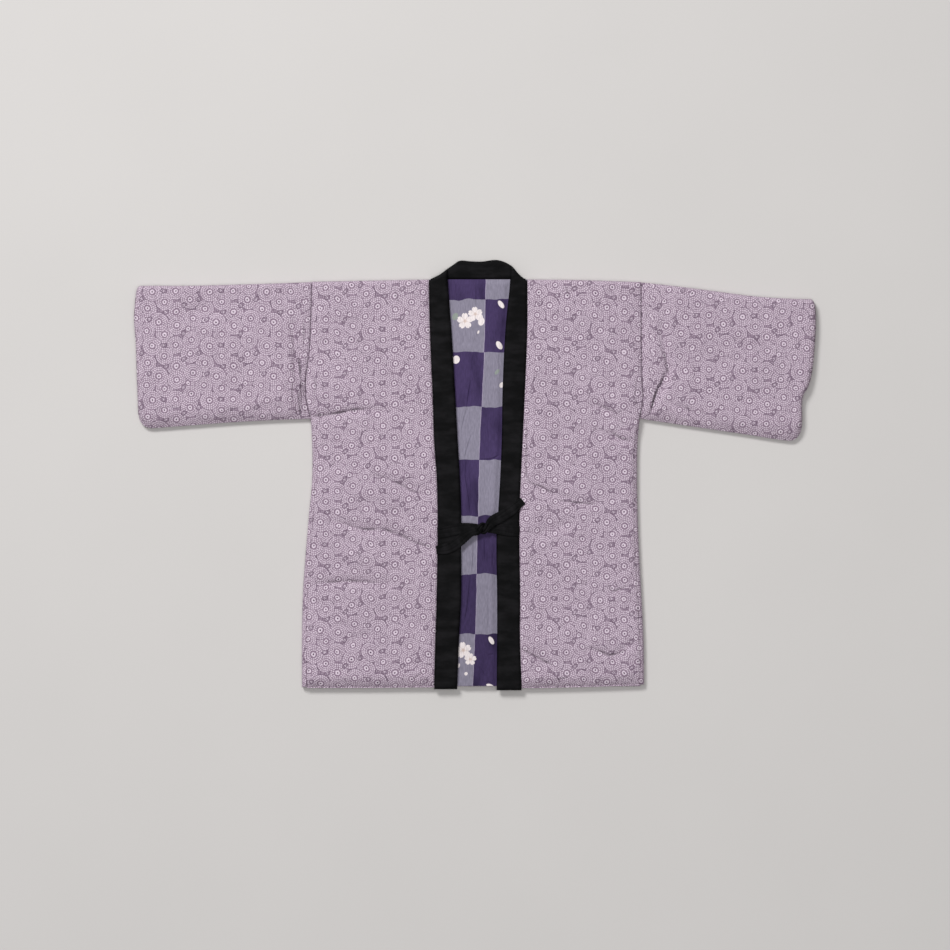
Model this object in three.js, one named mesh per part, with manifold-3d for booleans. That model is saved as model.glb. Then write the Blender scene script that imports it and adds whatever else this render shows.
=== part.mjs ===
// A hanten, the short wadded jacket of Japan, laid flat and face up with its sleeves spread.
// Millimetres. +X runs to the viewer's right, +Y from hem to neck, +Z up from the floor.
// The origin is on the floor, at the middle of the jacket's outline.
// "Left" and "right" are the viewer's, looking down on the fronts.
import * as THREE from "three";
import { mergeVertices } from "three/addons/utils/BufferGeometryUtils.js";
import Module from "manifold-3d";

const wasm = await Module();
wasm.setup();
const { clamp, lerp, degToRad } = THREE.MathUtils;

// Driving sizes

const halfSpan = 639; // from the middle to the edge of a cuff
const halfDepth = 404; // from the middle to the top of the neckband, and to its lower ends
const wall = 9; // one wadded wall: outer cloth, cotton wadding and lining
const frontLoft = 11.6; // the fronts are loftier, because nothing lies on them
const sleeveTop = 20.4; // height of the upper layer of a sleeve
const seamGap = 0.3; // left between two pieces that are sewn together
const liningWall = 1.2; // the back's lining where it lies loose
const collarWall = 8.2;
const tieWidth = 20;
const tieWall = 2; // a cotton tape, folded double
const gatheredTie = { width: 9, thick: 6 }; // the same tape, squeezed together in the knot
const sleeveSlit = 1.2; // between the two layers of a flattened sleeve
const cuffMouth = 172; // a cuff is open from its upper fold down this far
const cuffCorner = 24; // radius of a sleeve's lower outer corner
const cuffShoulder = 7; // and of its upper one
const footInset = 4; // how far a rounded edge turns under before it meets the floor
const rim = 1; // the least height of a rounded edge

const frontFloor = wall + seamGap;
const liningTop = frontFloor + liningWall;
const collarFloor = liningTop + seamGap;
const collarTop = collarFloor + collarWall;

// Outlines: tables read along y from hem to shoulder, or along x from left to right

// The seam between each front and its sleeve, with the width of the gusset that takes over below the underarm.
const sideSeam = [
  { y: -400, left: -316, leftGusset: 9, right: 310.5, rightGusset: 7 },
  { y: -310, left: -316, leftGusset: 9, right: 309.5, rightGusset: 7 },
  { y: -216, left: -314, leftGusset: 9, right: 305, rightGusset: 7 },
  { y: -141, left: -308.5, leftGusset: 9, right: 301, rightGusset: 7 },
  { y: -75, left: -303.5, leftGusset: 8.5, right: 299, rightGusset: 6.5 },
  { y: -10, left: -300.5, leftGusset: 5.5, right: 299, rightGusset: 5.5 },
  { y: 60, left: -301, leftGusset: 5, right: 300, rightGusset: 5.5 },
  { y: 104, left: -306.5, leftGusset: 1.5, right: 307.5, rightGusset: 1.5 },
  { y: 140, left: -310.5, leftGusset: 0, right: 312.5, rightGusset: 0 },
  { y: 235, left: -310, leftGusset: 0, right: 312.5, rightGusset: 0 },
  { y: 363, left: -306, leftGusset: 0, right: 312, rightGusset: 0 },
];

// Both edges of both sides of the neckband.
const collarLine = [
  { y: -404, leftOuter: -76.5, leftInner: -33.5, rightInner: 40.5, rightOuter: 87.5 },
  { y: -300, leftOuter: -73.5, leftInner: -29.5, rightInner: 41.5, rightOuter: 84 },
  { y: -235, leftOuter: -71.5, leftInner: -26, rightInner: 41.5, rightOuter: 84.5 },
  { y: -115, leftOuter: -69.5, leftInner: -26, rightInner: 40.5, rightOuter: 83 },
  { y: -60, leftOuter: -69.5, leftInner: -26, rightInner: 44, rightOuter: 83.5 },
  { y: 0, leftOuter: -71.5, leftInner: -28.5, rightInner: 47.5, rightOuter: 86 },
  { y: 60, leftOuter: -76, leftInner: -32, rightInner: 50, rightOuter: 89 },
  { y: 150, leftOuter: -79, leftInner: -37, rightInner: 51.5, rightOuter: 93 },
  { y: 230, leftOuter: -82.5, leftInner: -41.5, rightInner: 54.5, rightOuter: 96.5 },
  { y: 290, leftOuter: -84.5, leftInner: -45.5, rightInner: 58.5, rightOuter: 98 },
  { y: 365, leftOuter: -86, leftInner: -51, rightInner: 66, rightOuter: 98 },
  { y: 404, leftOuter: -86, leftInner: -52, rightInner: 67, rightOuter: 98 },
];

// The hem and the shoulder fold, both nearly straight.
const bodyEnds = [
  { x: -330, hem: -399.5, shoulder: 362.5 },
  { x: -200, hem: -399.5, shoulder: 365 },
  { x: -80, hem: -398.5, shoulder: 367 },
  { x: 90, hem: -400, shoulder: 367 },
  { x: 200, hem: -398, shoulder: 366 },
  { x: 320, hem: -394, shoulder: 362 },
];
const backHem = -397;
const underarm = 103;

// The sleeves' lower seam and upper fold. The right sleeve is laid at more of a slope.
const sleeveEnds = {
  left: [
    { x: -halfSpan, lower: 86, upper: 355 },
    { x: -600, lower: 88.5, upper: 355.5 },
    { x: -538, lower: 93, upper: 355.5 },
    { x: -451, lower: 99.5, upper: 357.5 },
    { x: -387, lower: 103, upper: 359.5 },
    { x: -306, lower: 106, upper: 362.5 },
  ],
  right: [
    { x: 309, lower: 106.5, upper: 362 },
    { x: 367, lower: 98, upper: 355.5 },
    { x: 442, lower: 87.5, upper: 346 },
    { x: 517, lower: 77, upper: 336 },
    { x: 592, lower: 66, upper: 331 },
    { x: halfSpan, lower: 62, upper: 330 },
  ],
};

// The edge of each cuff. The right one steps in where its opening ends.
const cuffEdge = {
  left: [
    { y: 60, x: -629 },
    { y: 113, x: -631 },
    { y: 164, x: -633 },
    { y: 250, x: -636 },
    { y: 293, x: -halfSpan },
    { y: 355, x: -634 },
  ],
  right: [
    { y: 60, x: 611 },
    { y: 100, x: 613 },
    { y: 152, x: 616 },
    { y: 161, x: 622 },
    { y: 181, x: 629 },
    { y: 250, x: 637 },
    { y: 293, x: halfSpan },
    { y: 330, x: 636 },
  ],
};

// The neckband's upper edge behind the neck: up one diagonal fold, across and down the other.
const neckContour = [
  { x: -86.5, y: 365 },
  { x: -81.5, y: 368.8 },
  { x: -66, y: 377 },
  { x: -52.5, y: 387 },
  { x: -38.5, y: 396.5 },
  { x: -30.5, y: 402 },
  { x: -8, y: 401.5 },
  { x: 12, y: 401 },
  { x: 40, y: halfDepth },
  { x: 52, y: 401.5 },
  { x: 62, y: 397 },
  { x: 71, y: 391 },
  { x: 80, y: 380 },
  { x: 92.5, y: 368.8 },
  { x: 98.5, y: 365 },
];

// Folds in the upper walls, each along a few points. A trough is pressed down, and a ridge has a negative drop.
const folds = {
  front: [
    { drop: 2.6, halfWidth: 8, along: [[-306, 112], [-240, 122], [-196, 134], [-150, 122]] },
    { drop: 1.8, halfWidth: 9, along: [[-196, 6], [-140, -18], [-78, -38]] },
    { drop: -1.4, halfWidth: 16, along: [[-230, -22], [-120, -62]] },
    { drop: 2.8, halfWidth: 9, along: [[-274, -80], [-206, -102], [-152, -105], [-76, -148]] },
    { drop: -1.5, halfWidth: 18, along: [[-262, -146], [-120, -168]] },
    { drop: 2.2, halfWidth: 9, along: [[-308, -205], [-240, -200], [-155, -204]] },
    { drop: 1.2, halfWidth: 11, along: [[-250, -316], [-190, -300]] },
    { drop: 1.8, halfWidth: 8, along: [[210, 142], [286, 102]] },
    { drop: 2.2, halfWidth: 8, along: [[222, 86], [262, 70], [304, 58]] },
    { drop: 1.6, halfWidth: 9, along: [[94, -66], [152, -46]] },
    { drop: 1.7, halfWidth: 11, along: [[94, -118], [192, -86]] },
    { drop: 1.6, halfWidth: 30, along: [[132, -60], [262, -232]] },
    { drop: 2, halfWidth: 8, along: [[90, -330], [130, -352]] },
    { drop: 2.2, halfWidth: 9, along: [[205, -328], [262, -338], [308, -306]] },
  ],
  left: [
    { drop: 3, halfWidth: 7, along: [[-341, 290], [-336, 195], [-318, 112]] },
    { drop: 2, halfWidth: 7, along: [[-354, 174], [-330, 104]] },
    { drop: 1.4, halfWidth: 10, along: [[-424, 122], [-348, 128]] },
    { drop: 1, halfWidth: 14, along: [[-560, 300], [-470, 318]] },
  ],
  right: [
    { drop: 3.4, halfWidth: 7, along: [[346, 286], [366, 198], [328, 114]] },
    { drop: 1.6, halfWidth: 10, along: [[346, 142], [444, 102]] },
    { drop: 1, halfWidth: 14, along: [[470, 250], [560, 232]] },
  ],
};

// Each tie leaves the outer seam of its side of the neckband, winds once round the other and ends in a free tail.
const knot = { x: 16.5, y: -100.5, z: 20, length: 33, aside: 4.85, rise: 3.7, slope: degToRad(4) };
const tieRest = collarTop + seamGap + tieWall / 2 + 0.1;
const tieRows = {
  leftRoot: [
    { x: -69.4, y: -109, z: tieRest - 1, width: 20 },
    { x: -63, y: -108.5, z: tieRest, width: 20 },
    { x: -48, y: -106.5, z: tieRest, width: 20 },
    { x: -32, y: -103.5, z: tieRest, width: 19 },
    { x: -14, y: -98.5, z: tieRest, width: 14 },
  ],
  leftTail: [
    { x: 42.5, y: -84, z: tieRest + 1, width: 13 },
    { x: 54, y: -75, z: tieRest + 0.7, width: 15.5 },
    { x: 71, y: -63.5, z: tieRest + 0.5, width: 16 },
    { x: 88.5, y: -51, z: tieRest + 1.5, width: 13.5 },
  ],
  rightRoot: [
    { x: 83, y: -108, z: tieRest - 1, width: 19 },
    { x: 77, y: -107.5, z: tieRest, width: 19 },
    { x: 62, y: -106, z: tieRest + 0.2, width: 18 },
    { x: 47, y: -104.5, z: tieRest + 0.9, width: 13.5 },
  ],
  rightTail: [
    { x: -13, y: -118, z: tieRest, width: 12 },
    { x: -25, y: -127, z: tieRest + 0.8, width: 14.5 },
    { x: -37, y: -135, z: tieRest + 0.4, width: 17.5 },
    { x: -52, y: -138.5, z: tieRest, width: 19 },
    { x: -72.5, y: -139, z: tieRest + 0.2, width: 19 },
  ],
};

// Reading the tables

// A smooth curve through one column of a table, read at a place along its key column.
function read(table, key, column, at) {
  const last = table.length - 1;
  const next = table.findIndex((row) => row[key] > at);
  const i = next < 0 ? last - 1 : Math.max(0, next - 1);
  const span = (j) => table[j + 1][key] - table[j][key];
  const rise = (j) => (table[j + 1][column] - table[j][column]) / span(j);
  const slope = (j) => (rise(Math.max(0, j - 1)) + rise(Math.min(last - 1, j))) / 2;
  const t = clamp((at - table[i][key]) / span(i), 0, 1);
  return (
    table[i][column] * (2 * t ** 3 - 3 * t ** 2 + 1) +
    slope(i) * span(i) * (t ** 3 - 2 * t ** 2 + t) +
    table[i + 1][column] * (3 * t ** 2 - 2 * t ** 3) +
    slope(i + 1) * span(i) * (t ** 3 - t ** 2)
  );
}

// How far a list of folds presses the surface down at a point. A fold dies away at both of its ends.
function foldDrop(list, x, y) {
  let sum = 0;
  for (const { drop, halfWidth, along } of list) {
    const legs = along.slice(1).map(([xEnd, yEnd], i) => {
      const [xStart, yStart] = along[i];
      const length = Math.hypot(xEnd - xStart, yEnd - yStart);
      const run = ((x - xStart) * (xEnd - xStart) + (y - yStart) * (yEnd - yStart)) / length ** 2;
      const t = clamp(run, 0, 1);
      const off = Math.hypot(x - lerp(xStart, xEnd, t), y - lerp(yStart, yEnd, t));
      return { length, t, off };
    });
    const whole = legs.reduce((total, leg) => total + leg.length, 0);
    const nearest = legs.reduce((best, leg) => (leg.off < best.off ? leg : best));
    const before = legs.slice(0, legs.indexOf(nearest)).reduce((total, leg) => total + leg.length, 0);
    const strength = Math.sqrt(Math.sin(Math.PI * clamp((before + nearest.t * nearest.length) / whole, 0, 1)));
    sum += drop * strength * Math.exp(-((nearest.off / halfWidth) ** 2));
  }
  return sum;
}

const outwards = { left: -1, right: 1 };
const hemAt = (x) => read(bodyEnds, "x", "hem", x);
const shoulderAt = (x) => read(bodyEnds, "x", "shoulder", x);
const sideSeamAt = (column) => (y) => read(sideSeam, "y", column, y);
const collarEdgeAt = (column) => (y) => read(collarLine, "y", column, y);

// Edges and rows

// A quarter round: 0 at an edge, 1 from reach inwards.
const quarterRound = (distance, reach) => Math.sqrt(1 - clamp(1 - distance / reach, 0, 1) ** 2);

// The share of its full height that a wadded wall keeps near an edge that is held down to a smaller share.
const nearEdge = (distance, reach, share) => share + (1 - share) * quarterRound(distance, reach);

// Places from 0 to 1 across a strip: close together near both ends, evenly spaced between them.
function columnsAcross(width, step, nearEnds) {
  const first = nearEnds.at(-1);
  const count = Math.max(1, Math.round((width - 2 * first) / step));
  const middle = Array.from({ length: count - 1 }, (_, i) => lerp(first, width - first, (i + 1) / count));
  const ends = nearEnds.map((distance) => width - distance).reverse();
  return [...nearEnds, ...middle, ...ends].map((distance) => distance / width);
}

// Rows up the jacket, at whole steps of y. Pieces that share a seam share them, so their edges match.
const rowStep = 20;
function rowsBetween(low, high, nearEnds) {
  const rows = nearEnds.map((distance) => low + distance);
  const clear = nearEnds.at(-1) + 0.3 * rowStep;
  for (let y = Math.ceil((low + clear) / rowStep) * rowStep; y <= high - clear; y += rowStep) rows.push(y);
  return [...rows, ...nearEnds.map((distance) => high - distance).reverse()];
}

// Every so many places of a list, with its two ends.
const thinned = (list, every) => list.filter((_, i) => i % every === 0 || i === list.length - 1);

// A panel's plan: its sides are read by y, and its ends, which aren't quite straight, by x. The rows near an
// end, as far in as its reach, take up its slope.
function panelPlan({ left, right, low, high, endReach = 30 }) {
  return (u, row) => {
    const x = lerp(left(row), right(row), u);
    const nearLow = clamp(1 - (row - low(0)) / endReach, 0, 1);
    const nearHigh = clamp(1 - (high(0) - row) / endReach, 0, 1);
    const y = row + nearLow * (low(x) - low(0)) + nearHigh * (high(x) - high(0));
    return [lerp(left(y), right(y), u), y];
  };
}

// The edges of a piece from left to right, given the one that faces outwards and the one that faces the middle.
function inOrder(side, outer, inner) {
  return side === "left" ? { left: outer, right: inner } : { left: inner, right: outer };
}

// Solids

function closed(points, triangles) {
  const geometry = new THREE.BufferGeometry().setFromPoints(points);
  geometry.setIndex(triangles);
  const merged = mergeVertices(geometry, 1e-3);
  merged.computeVertexNormals();
  return merged;
}

// Triangles between two rows of points that run the same way but needn't have the same number of points.
function stitch(rowA, placesA, rowB, placesB) {
  const triangles = [];
  let [i, j] = [0, 0];
  while (i < rowA.length - 1 || j < rowB.length - 1) {
    const stepA = j === rowB.length - 1 || (i < rowA.length - 1 && placesA[i + 1] <= placesB[j + 1]);
    triangles.push([rowA[i], stepA ? rowA[i + 1] : rowB[j + 1], rowB[j]]);
    if (stepA) i += 1;
    else j += 1;
  }
  return triangles;
}

// A closed solid between an upper and a lower surface over one plan. plan(u, v) gives [x, y], and top and under
// give heights at (x, y, u, v). The lower surface may have fewer columns.
function wallSolid({ us, usLow = us, vs, plan, top, under }) {
  const points = [];
  const surface = (columns, height) =>
    vs.map((v) =>
      columns.map((u) => {
        const [x, y] = plan(u, v);
        return points.push(new THREE.Vector3(x, y, height(x, y, u, v))) - 1;
      }),
    );
  const upper = surface(us, top);
  const lower = surface(usLow, under);
  const edge = (rows, i) => rows.map((row) => row.at(i));
  const facingUp = [
    ...vs.slice(1).flatMap((_, j) => stitch(upper[j], us, upper[j + 1], us)),
    ...stitch(lower[0], usLow, upper[0], us),
    ...stitch(edge(upper, 0), vs, edge(lower, 0), vs),
  ];
  const facingDown = [
    ...vs.slice(1).flatMap((_, j) => stitch(lower[j], usLow, lower[j + 1], usLow)),
    ...stitch(lower.at(-1), usLow, upper.at(-1), us),
    ...stitch(edge(upper, -1), vs, edge(lower, -1), vs),
  ].map(([a, b, c]) => [a, c, b]);
  return closed(points, [...facingUp, ...facingDown].flat());
}

function toSolid(geometry) {
  const bare = geometry.clone();
  bare.deleteAttribute("normal");
  const merged = mergeVertices(bare, 1e-3);
  const vertProperties = merged.attributes.position.array;
  const triVerts = new Uint32Array(merged.index.array);
  return new wasm.Manifold(new wasm.Mesh({ numProp: 3, vertProperties, triVerts }));
}

function toGeometry(solid) {
  const { vertProperties, triVerts } = solid.getMesh();
  const geometry = new THREE.BufferGeometry();
  geometry.setAttribute("position", new THREE.BufferAttribute(vertProperties, 3));
  geometry.setIndex(new THREE.BufferAttribute(triVerts, 1));
  geometry.computeVertexNormals();
  return geometry;
}

// Body

// The back lies flat on the floor, and its upper edge turns up towards the shoulder fold.
function backGeometry() {
  const high = (x) => shoulderAt(x) - seamGap;
  return wallSolid({
    us: columnsAcross(620, 310, [0, 8]),
    vs: rowsBetween(backHem, high(0), [0, 1.5, footInset, 12]),
    plan: panelPlan({
      left: (y) => sideSeamAt("left")(y) + seamGap,
      right: (y) => sideSeamAt("right")(y) - seamGap,
      low: () => backHem,
      high,
    }),
    top: (x, y) => wall * nearEdge(y - backHem, 5, 0.62),
    under: (x, y) => (wall - rim) * (1 - quarterRound(high(x) - y, footInset)),
  });
}

// The lining shows between the fronts, and runs under both sides of the neckband.
function liningGeometry() {
  const [low, high] = [backHem + 1, 366.4];
  return wallSolid({
    us: [0, 0.5, 1],
    vs: rowsBetween(low, high, [0]),
    plan: panelPlan({
      left: (y) => collarEdgeAt("leftOuter")(y) + seamGap,
      right: (y) => collarEdgeAt("rightOuter")(y) - seamGap,
      low: () => low,
      high: () => high,
    }),
    top: () => liningTop,
    under: () => frontFloor,
  });
}

// A front is flat underneath and puffs up on top, held down along every seam to a share of its loft.
const heldShare = { side: 0.56, collar: 0.62, hem: 0.42, shoulder: 0.1 };
function frontGeometry(side) {
  const seam = sideSeamAt(side);
  const band = collarEdgeAt(`${side}Outer`);
  const outer = (y) => seam(y) - outwards[side] * seamGap;
  const inner = (y) => band(y) + outwards[side] * seamGap;
  const us = columnsAcross(230, 17, [0, 2, 6, 14]);
  return wallSolid({
    us,
    usLow: thinned(us, 5),
    vs: rowsBetween(hemAt(0), shoulderAt(0), [0, 1.5, 5, 12]),
    plan: panelPlan({ ...inOrder(side, outer, inner), low: hemAt, high: shoulderAt }),
    top: (x, y) => {
      const held =
        nearEdge(Math.abs(x - outer(y)), 24, heldShare.side) *
        nearEdge(Math.abs(x - inner(y)), 20, heldShare.collar) *
        nearEdge(y - hemAt(x), 12, heldShare.hem) *
        nearEdge(shoulderAt(x) - y, 20, heldShare.shoulder);
      return frontFloor + frontLoft * held - held ** 2 * foldDrop(folds.front, x, y);
    },
    under: () => frontFloor,
  });
}

// A gusset is the narrow strip that rolls round the side, from the floor up to the front's seam.
function gussetGeometry(side) {
  const seam = sideSeamAt(side);
  const outer = (y) => seam(y) + outwards[side] * sideSeamAt(`${side}Gusset`)(y);
  const inner = (y) => seam(y) + outwards[side] * seamGap;
  const hem = hemAt(seam(-400)) + 1;
  const crest = frontFloor + frontLoft * heldShare.side;
  const roll = 0.42 * crest; // the widest part of the roll is this high
  const ends = (y) => nearEdge(y - hem, 10, 0.6) * nearEdge(underarm - y, 16, 0.7);
  return wallSolid({
    us: columnsAcross(9, 4, [0, 1]),
    vs: rowsBetween(hem, underarm, [0, 1.5, 5]),
    plan: panelPlan({ ...inOrder(side, outer, inner), low: () => hem, high: () => underarm }),
    top: (x, y) => roll + rim / 2 + (crest - roll) * quarterRound(Math.abs(outer(y) - x), 9) * ends(y),
    under: (x, y) => (roll - rim / 2) * (1 - quarterRound(Math.abs(outer(y) - x), footInset)),
  });
}

// Sleeves

// The thin space inside a sleeve. It runs out through the armhole, and through the open part of the cuff.
function sleeveHollow(side) {
  const past = 6; // beyond the armhole and the cuff
  const fromFold = 9; // each layer's fold and seam keep this much solid
  const lipReach = 8; // the two lips of the cuff round away from each other
  const lipOpen = 2.2;
  const closes = { from: 0.9, over: 0.055 }; // the share of the way out where the lower part is sewn shut
  const outs = [0, 0.5, 0.9, 0.955, 0.975, 1];
  const ends = (column, x) => read(sleeveEnds[side], "x", column, x);
  const plan = (u, v) => {
    const out = side === "left" ? 1 - u : u;
    const x = outwards[side] * lerp(311 - past, halfSpan + past, out);
    const shut = out > closes.from ? quarterRound(out - closes.from, closes.over) : 0;
    const lower = lerp(ends("lower", x) + fromFold, ends("upper", x) - cuffMouth, shut);
    return [x, lerp(lower, ends("upper", x) - fromFold, v)];
  };
  const lip = (x, y) => {
    const inside = Math.max(0, Math.abs(read(cuffEdge[side], "y", "x", y)) - Math.abs(x));
    return lipOpen * (1 - quarterRound(inside, lipReach));
  };
  return wallSolid({
    us: side === "left" ? outs.map((out) => 1 - out).reverse() : outs,
    vs: [0, 0.25, 0.5, 0.75, 1],
    plan,
    top: (x, y) => wall + sleeveSlit + lip(x, y),
    under: (x, y) => wall - lip(x, y),
  });
}

// A flattened tube: one layer on the floor and one on top, round at the upper fold and at the lower seam.
function sleeveGeometry(side) {
  const length = 325;
  const depth = 256;
  const arm = { low: 106, high: 362 };
  const armhole = (y) => sideSeamAt(side)(Math.max(y, arm.low)) + outwards[side] * seamGap;
  const cuff = (y) => read(cuffEdge[side], "y", "x", y);
  const cornerCut = (fromCuff, radius) => radius * (1 - quarterRound(fromCuff, radius));
  const plan = (u, v) => {
    const out = side === "left" ? 1 - u : u;
    const fromCuff = (1 - out) * length;
    const x = outwards[side] * lerp(311, 630, out);
    const lower = read(sleeveEnds[side], "x", "lower", x) + cornerCut(fromCuff, cuffCorner);
    const upper = read(sleeveEnds[side], "x", "upper", x) - cornerCut(fromCuff, cuffShoulder);
    const y = lerp(lower, upper, v);
    return [lerp(armhole(y), cuff(y), out), y];
  };
  const fromArm = [0, 3, 9, 18, 34, 54, 76, 100, 126, 152, 178, 204, 230, 254, 276];
  const fromCuff = [0, 1.5, 4, 9, 16, 26];
  const outs = [...fromArm, ...fromCuff.map((distance) => length - distance).reverse()].map((d) => d / length);
  const us = side === "left" ? outs.map((out) => 1 - out).reverse() : outs;
  const middle = wall * 0.95; // the widest part of the rounded fold is this high
  const top = (x, y, u, v) => {
    const held =
      nearEdge(v * depth, 22, 0.04) *
      nearEdge((1 - v) * depth, 22, 0.04) *
      nearEdge(Math.abs(x - armhole(y)), 26, 0.6) *
      nearEdge(Math.abs(cuff(y) - x), 9, 0.55);
    return middle + rim / 2 + (sleeveTop - middle) * held - held ** 2 * foldDrop(folds[side], x, y);
  };
  const under = (x, y, u, v) => (middle - rim / 2) * (1 - quarterRound(Math.min(v, 1 - v) * depth, footInset));
  const rows = rowsBetween(arm.low, arm.high, [0, 1, footInset, 10]);
  const vs = rows.map((y) => (y - arm.low) / (arm.high - arm.low));
  const tube = wallSolid({ us, usLow: thinned(us, 4), vs, plan, top, under });
  return toGeometry(toSolid(tube).subtract(toSolid(sleeveHollow(side))));
}

// Neckband

// One side of the band, from its lower end up over the shoulder to the diagonal fold behind the neck.
function collarSideGeometry(side) {
  const outer = collarEdgeAt(`${side}Outer`);
  const inner = collarEdgeAt(`${side}Inner`);
  const low = side === "left" ? -402 : -halfDepth;
  const high = (x) => read(neckContour, "x", "y", x) - 0.4;
  const us = columnsAcross(43, 12, [0, 1.2, 4.5]);
  return wallSolid({
    us,
    usLow: thinned(us, us.length),
    vs: rowsBetween(low, high(0), [0, 1.2, 4.5]),
    plan: panelPlan({ ...inOrder(side, outer, inner), low: () => low, high, endReach: 70 }),
    top: (x, y) =>
      collarFloor +
      collarWall *
        nearEdge(Math.abs(x - outer(y)), 4.5, 0.5) *
        nearEdge(Math.abs(x - inner(y)), 4.5, 0.3) *
        nearEdge(y - low, 4.5, 0.5) *
        nearEdge(high(x) - y, 7, 0.25),
    under: () => collarFloor,
  });
}

// The band behind the neck lies on the floor, beyond the back's upper edge and under both folded corners.
function collarNeckGeometry() {
  const [left, right, sewn] = [-83, 95, 367.6];
  const contour = (x) => Math.max(sewn + 1.5, read(neckContour, "x", "y", x));
  const height = collarFloor - seamGap;
  return wallSolid({
    us: columnsAcross(right - left, 12, [0, 5]),
    vs: [0, 0.04, 0.16, 0.5, 0.84, 0.96, 1],
    plan: (u, v) => [lerp(left, right, u), lerp(sewn, contour(lerp(left, right, u)), v)],
    top: (x, y) => height * nearEdge(y - sewn, 4.5, 0.7) * nearEdge(contour(x) - y, 6, 0.55),
    under: (x, y) => 0.4 * height * (1 - quarterRound(contour(x) - y, footInset)),
  });
}

// Ties

// One turn of a tie through the knot, from left to right. The two ties are half a turn apart.
function knotTurn(startAngle) {
  const steps = 12;
  return Array.from({ length: steps + 1 }, (_, i) => {
    const angle = startAngle - (2 * Math.PI * i) / steps;
    const along = (i / steps - 0.5) * knot.length;
    const aside = knot.aside * Math.cos(angle);
    return {
      x: knot.x + along * Math.cos(knot.slope) - aside * Math.sin(knot.slope),
      y: knot.y + along * Math.sin(knot.slope) + aside * Math.cos(knot.slope),
      z: knot.z + knot.rise * Math.sin(angle),
      width: gatheredTie.width,
    };
  });
}

// A tape swept along its rows. Where it is squeezed narrow it is thicker, from a flat section to an oval one.
function tieGeometry(rows) {
  const [steps, sides] = [44, 10];
  const curve = (points) => new THREE.CatmullRomCurve3(points, false, "centripetal");
  const path = curve(rows.map((row) => new THREE.Vector3(row.x, row.y, row.z)));
  const widths = curve(rows.map((row, i) => new THREE.Vector3(i, row.width, 0)));
  const shaped = (value, power) => Math.sign(value) * Math.abs(value) ** power;
  const up = new THREE.Vector3(0, 0, 1);
  const points = [];
  for (let i = 0; i <= steps; i++) {
    const ahead = path.getTangent(i / steps);
    const across = new THREE.Vector3().crossVectors(up, ahead).normalize();
    const lift = new THREE.Vector3().crossVectors(ahead, across);
    const width = widths.getPoint(i / steps).y;
    const squeezed = clamp((tieWidth - width) / (tieWidth - gatheredTie.width), 0, 1);
    const thick = lerp(tieWall, gatheredTie.thick, squeezed ** 2);
    for (let k = 0; k < sides; k++) {
      const angle = (2 * Math.PI * (k + 0.5)) / sides;
      const power = lerp(0.35, 1, squeezed);
      const point = path.getPoint(i / steps);
      point.addScaledVector(across, (width / 2) * shaped(Math.cos(angle), power));
      point.addScaledVector(lift, (thick / 2) * shaped(Math.sin(angle), power));
      points.push(point);
    }
  }
  const at = (i, k) => i * sides + (k % sides);
  const triangles = [];
  for (let i = 0; i < steps; i++) {
    for (let k = 0; k < sides; k++) {
      triangles.push(at(i, k), at(i, k + 1), at(i + 1, k), at(i + 1, k), at(i, k + 1), at(i + 1, k + 1));
    }
  }
  for (let k = 1; k + 1 < sides; k++) {
    triangles.push(at(0, 0), at(0, k + 1), at(0, k));
    triangles.push(at(steps, 0), at(steps, k), at(steps, k + 1));
  }
  return closed(points, triangles);
}

// The jacket

const print = new THREE.MeshStandardMaterial({ color: 0xb4a2b2, roughness: 0.9, metalness: 0 });
const check = new THREE.MeshStandardMaterial({ color: 0x5c4b7a, roughness: 0.85, metalness: 0 });
const black = new THREE.MeshStandardMaterial({ color: 0x191819, roughness: 0.75, metalness: 0 });

const jacket = new THREE.Group();
function sew(name, geometry, material) {
  const piece = new THREE.Mesh(geometry, material);
  piece.name = name;
  jacket.add(piece);
}

sew("back", backGeometry(), print);
sew("back_lining", liningGeometry(), check);
for (const side of ["left", "right"]) {
  sew(`front_${side}`, frontGeometry(side), print);
  sew(`gusset_${side}`, gussetGeometry(side), print);
  sew(`sleeve_${side}`, sleeveGeometry(side), print);
  sew(`collar_${side}`, collarSideGeometry(side), black);
}
sew("collar_neck", collarNeckGeometry(), black);
const leftTie = [...tieRows.leftRoot, ...knotTurn(0), ...tieRows.leftTail];
const rightTie = [...tieRows.rightRoot, ...knotTurn(Math.PI).reverse(), ...tieRows.rightTail];
sew("tie_left", tieGeometry(leftTie), black);
sew("tie_right", tieGeometry(rightTie), black);

export default jacket;
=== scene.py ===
# A wadded hanten laid flat and open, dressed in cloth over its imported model.
# Metres. +X to the viewer's right, +Y from hem to neck, +Z up. Left and right are the viewer's.
import functools
import math

import bmesh
import bpy
import numpy as np
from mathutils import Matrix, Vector


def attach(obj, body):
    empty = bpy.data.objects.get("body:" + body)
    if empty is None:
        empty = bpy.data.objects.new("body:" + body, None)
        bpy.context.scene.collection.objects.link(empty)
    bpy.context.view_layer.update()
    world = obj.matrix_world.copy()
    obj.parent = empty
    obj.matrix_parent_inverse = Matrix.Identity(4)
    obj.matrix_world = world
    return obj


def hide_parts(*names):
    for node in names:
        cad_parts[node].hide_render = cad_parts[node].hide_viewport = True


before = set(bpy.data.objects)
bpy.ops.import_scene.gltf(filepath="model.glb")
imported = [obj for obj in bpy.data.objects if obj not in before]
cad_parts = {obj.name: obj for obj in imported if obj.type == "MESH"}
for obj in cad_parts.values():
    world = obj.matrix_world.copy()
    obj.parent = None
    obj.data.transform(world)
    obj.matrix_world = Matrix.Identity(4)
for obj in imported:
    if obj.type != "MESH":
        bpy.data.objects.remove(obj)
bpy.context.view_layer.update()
print("frame loaded")

# Outlines, the same as the solids', read along y from hem to shoulder or along x from left to right

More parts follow.
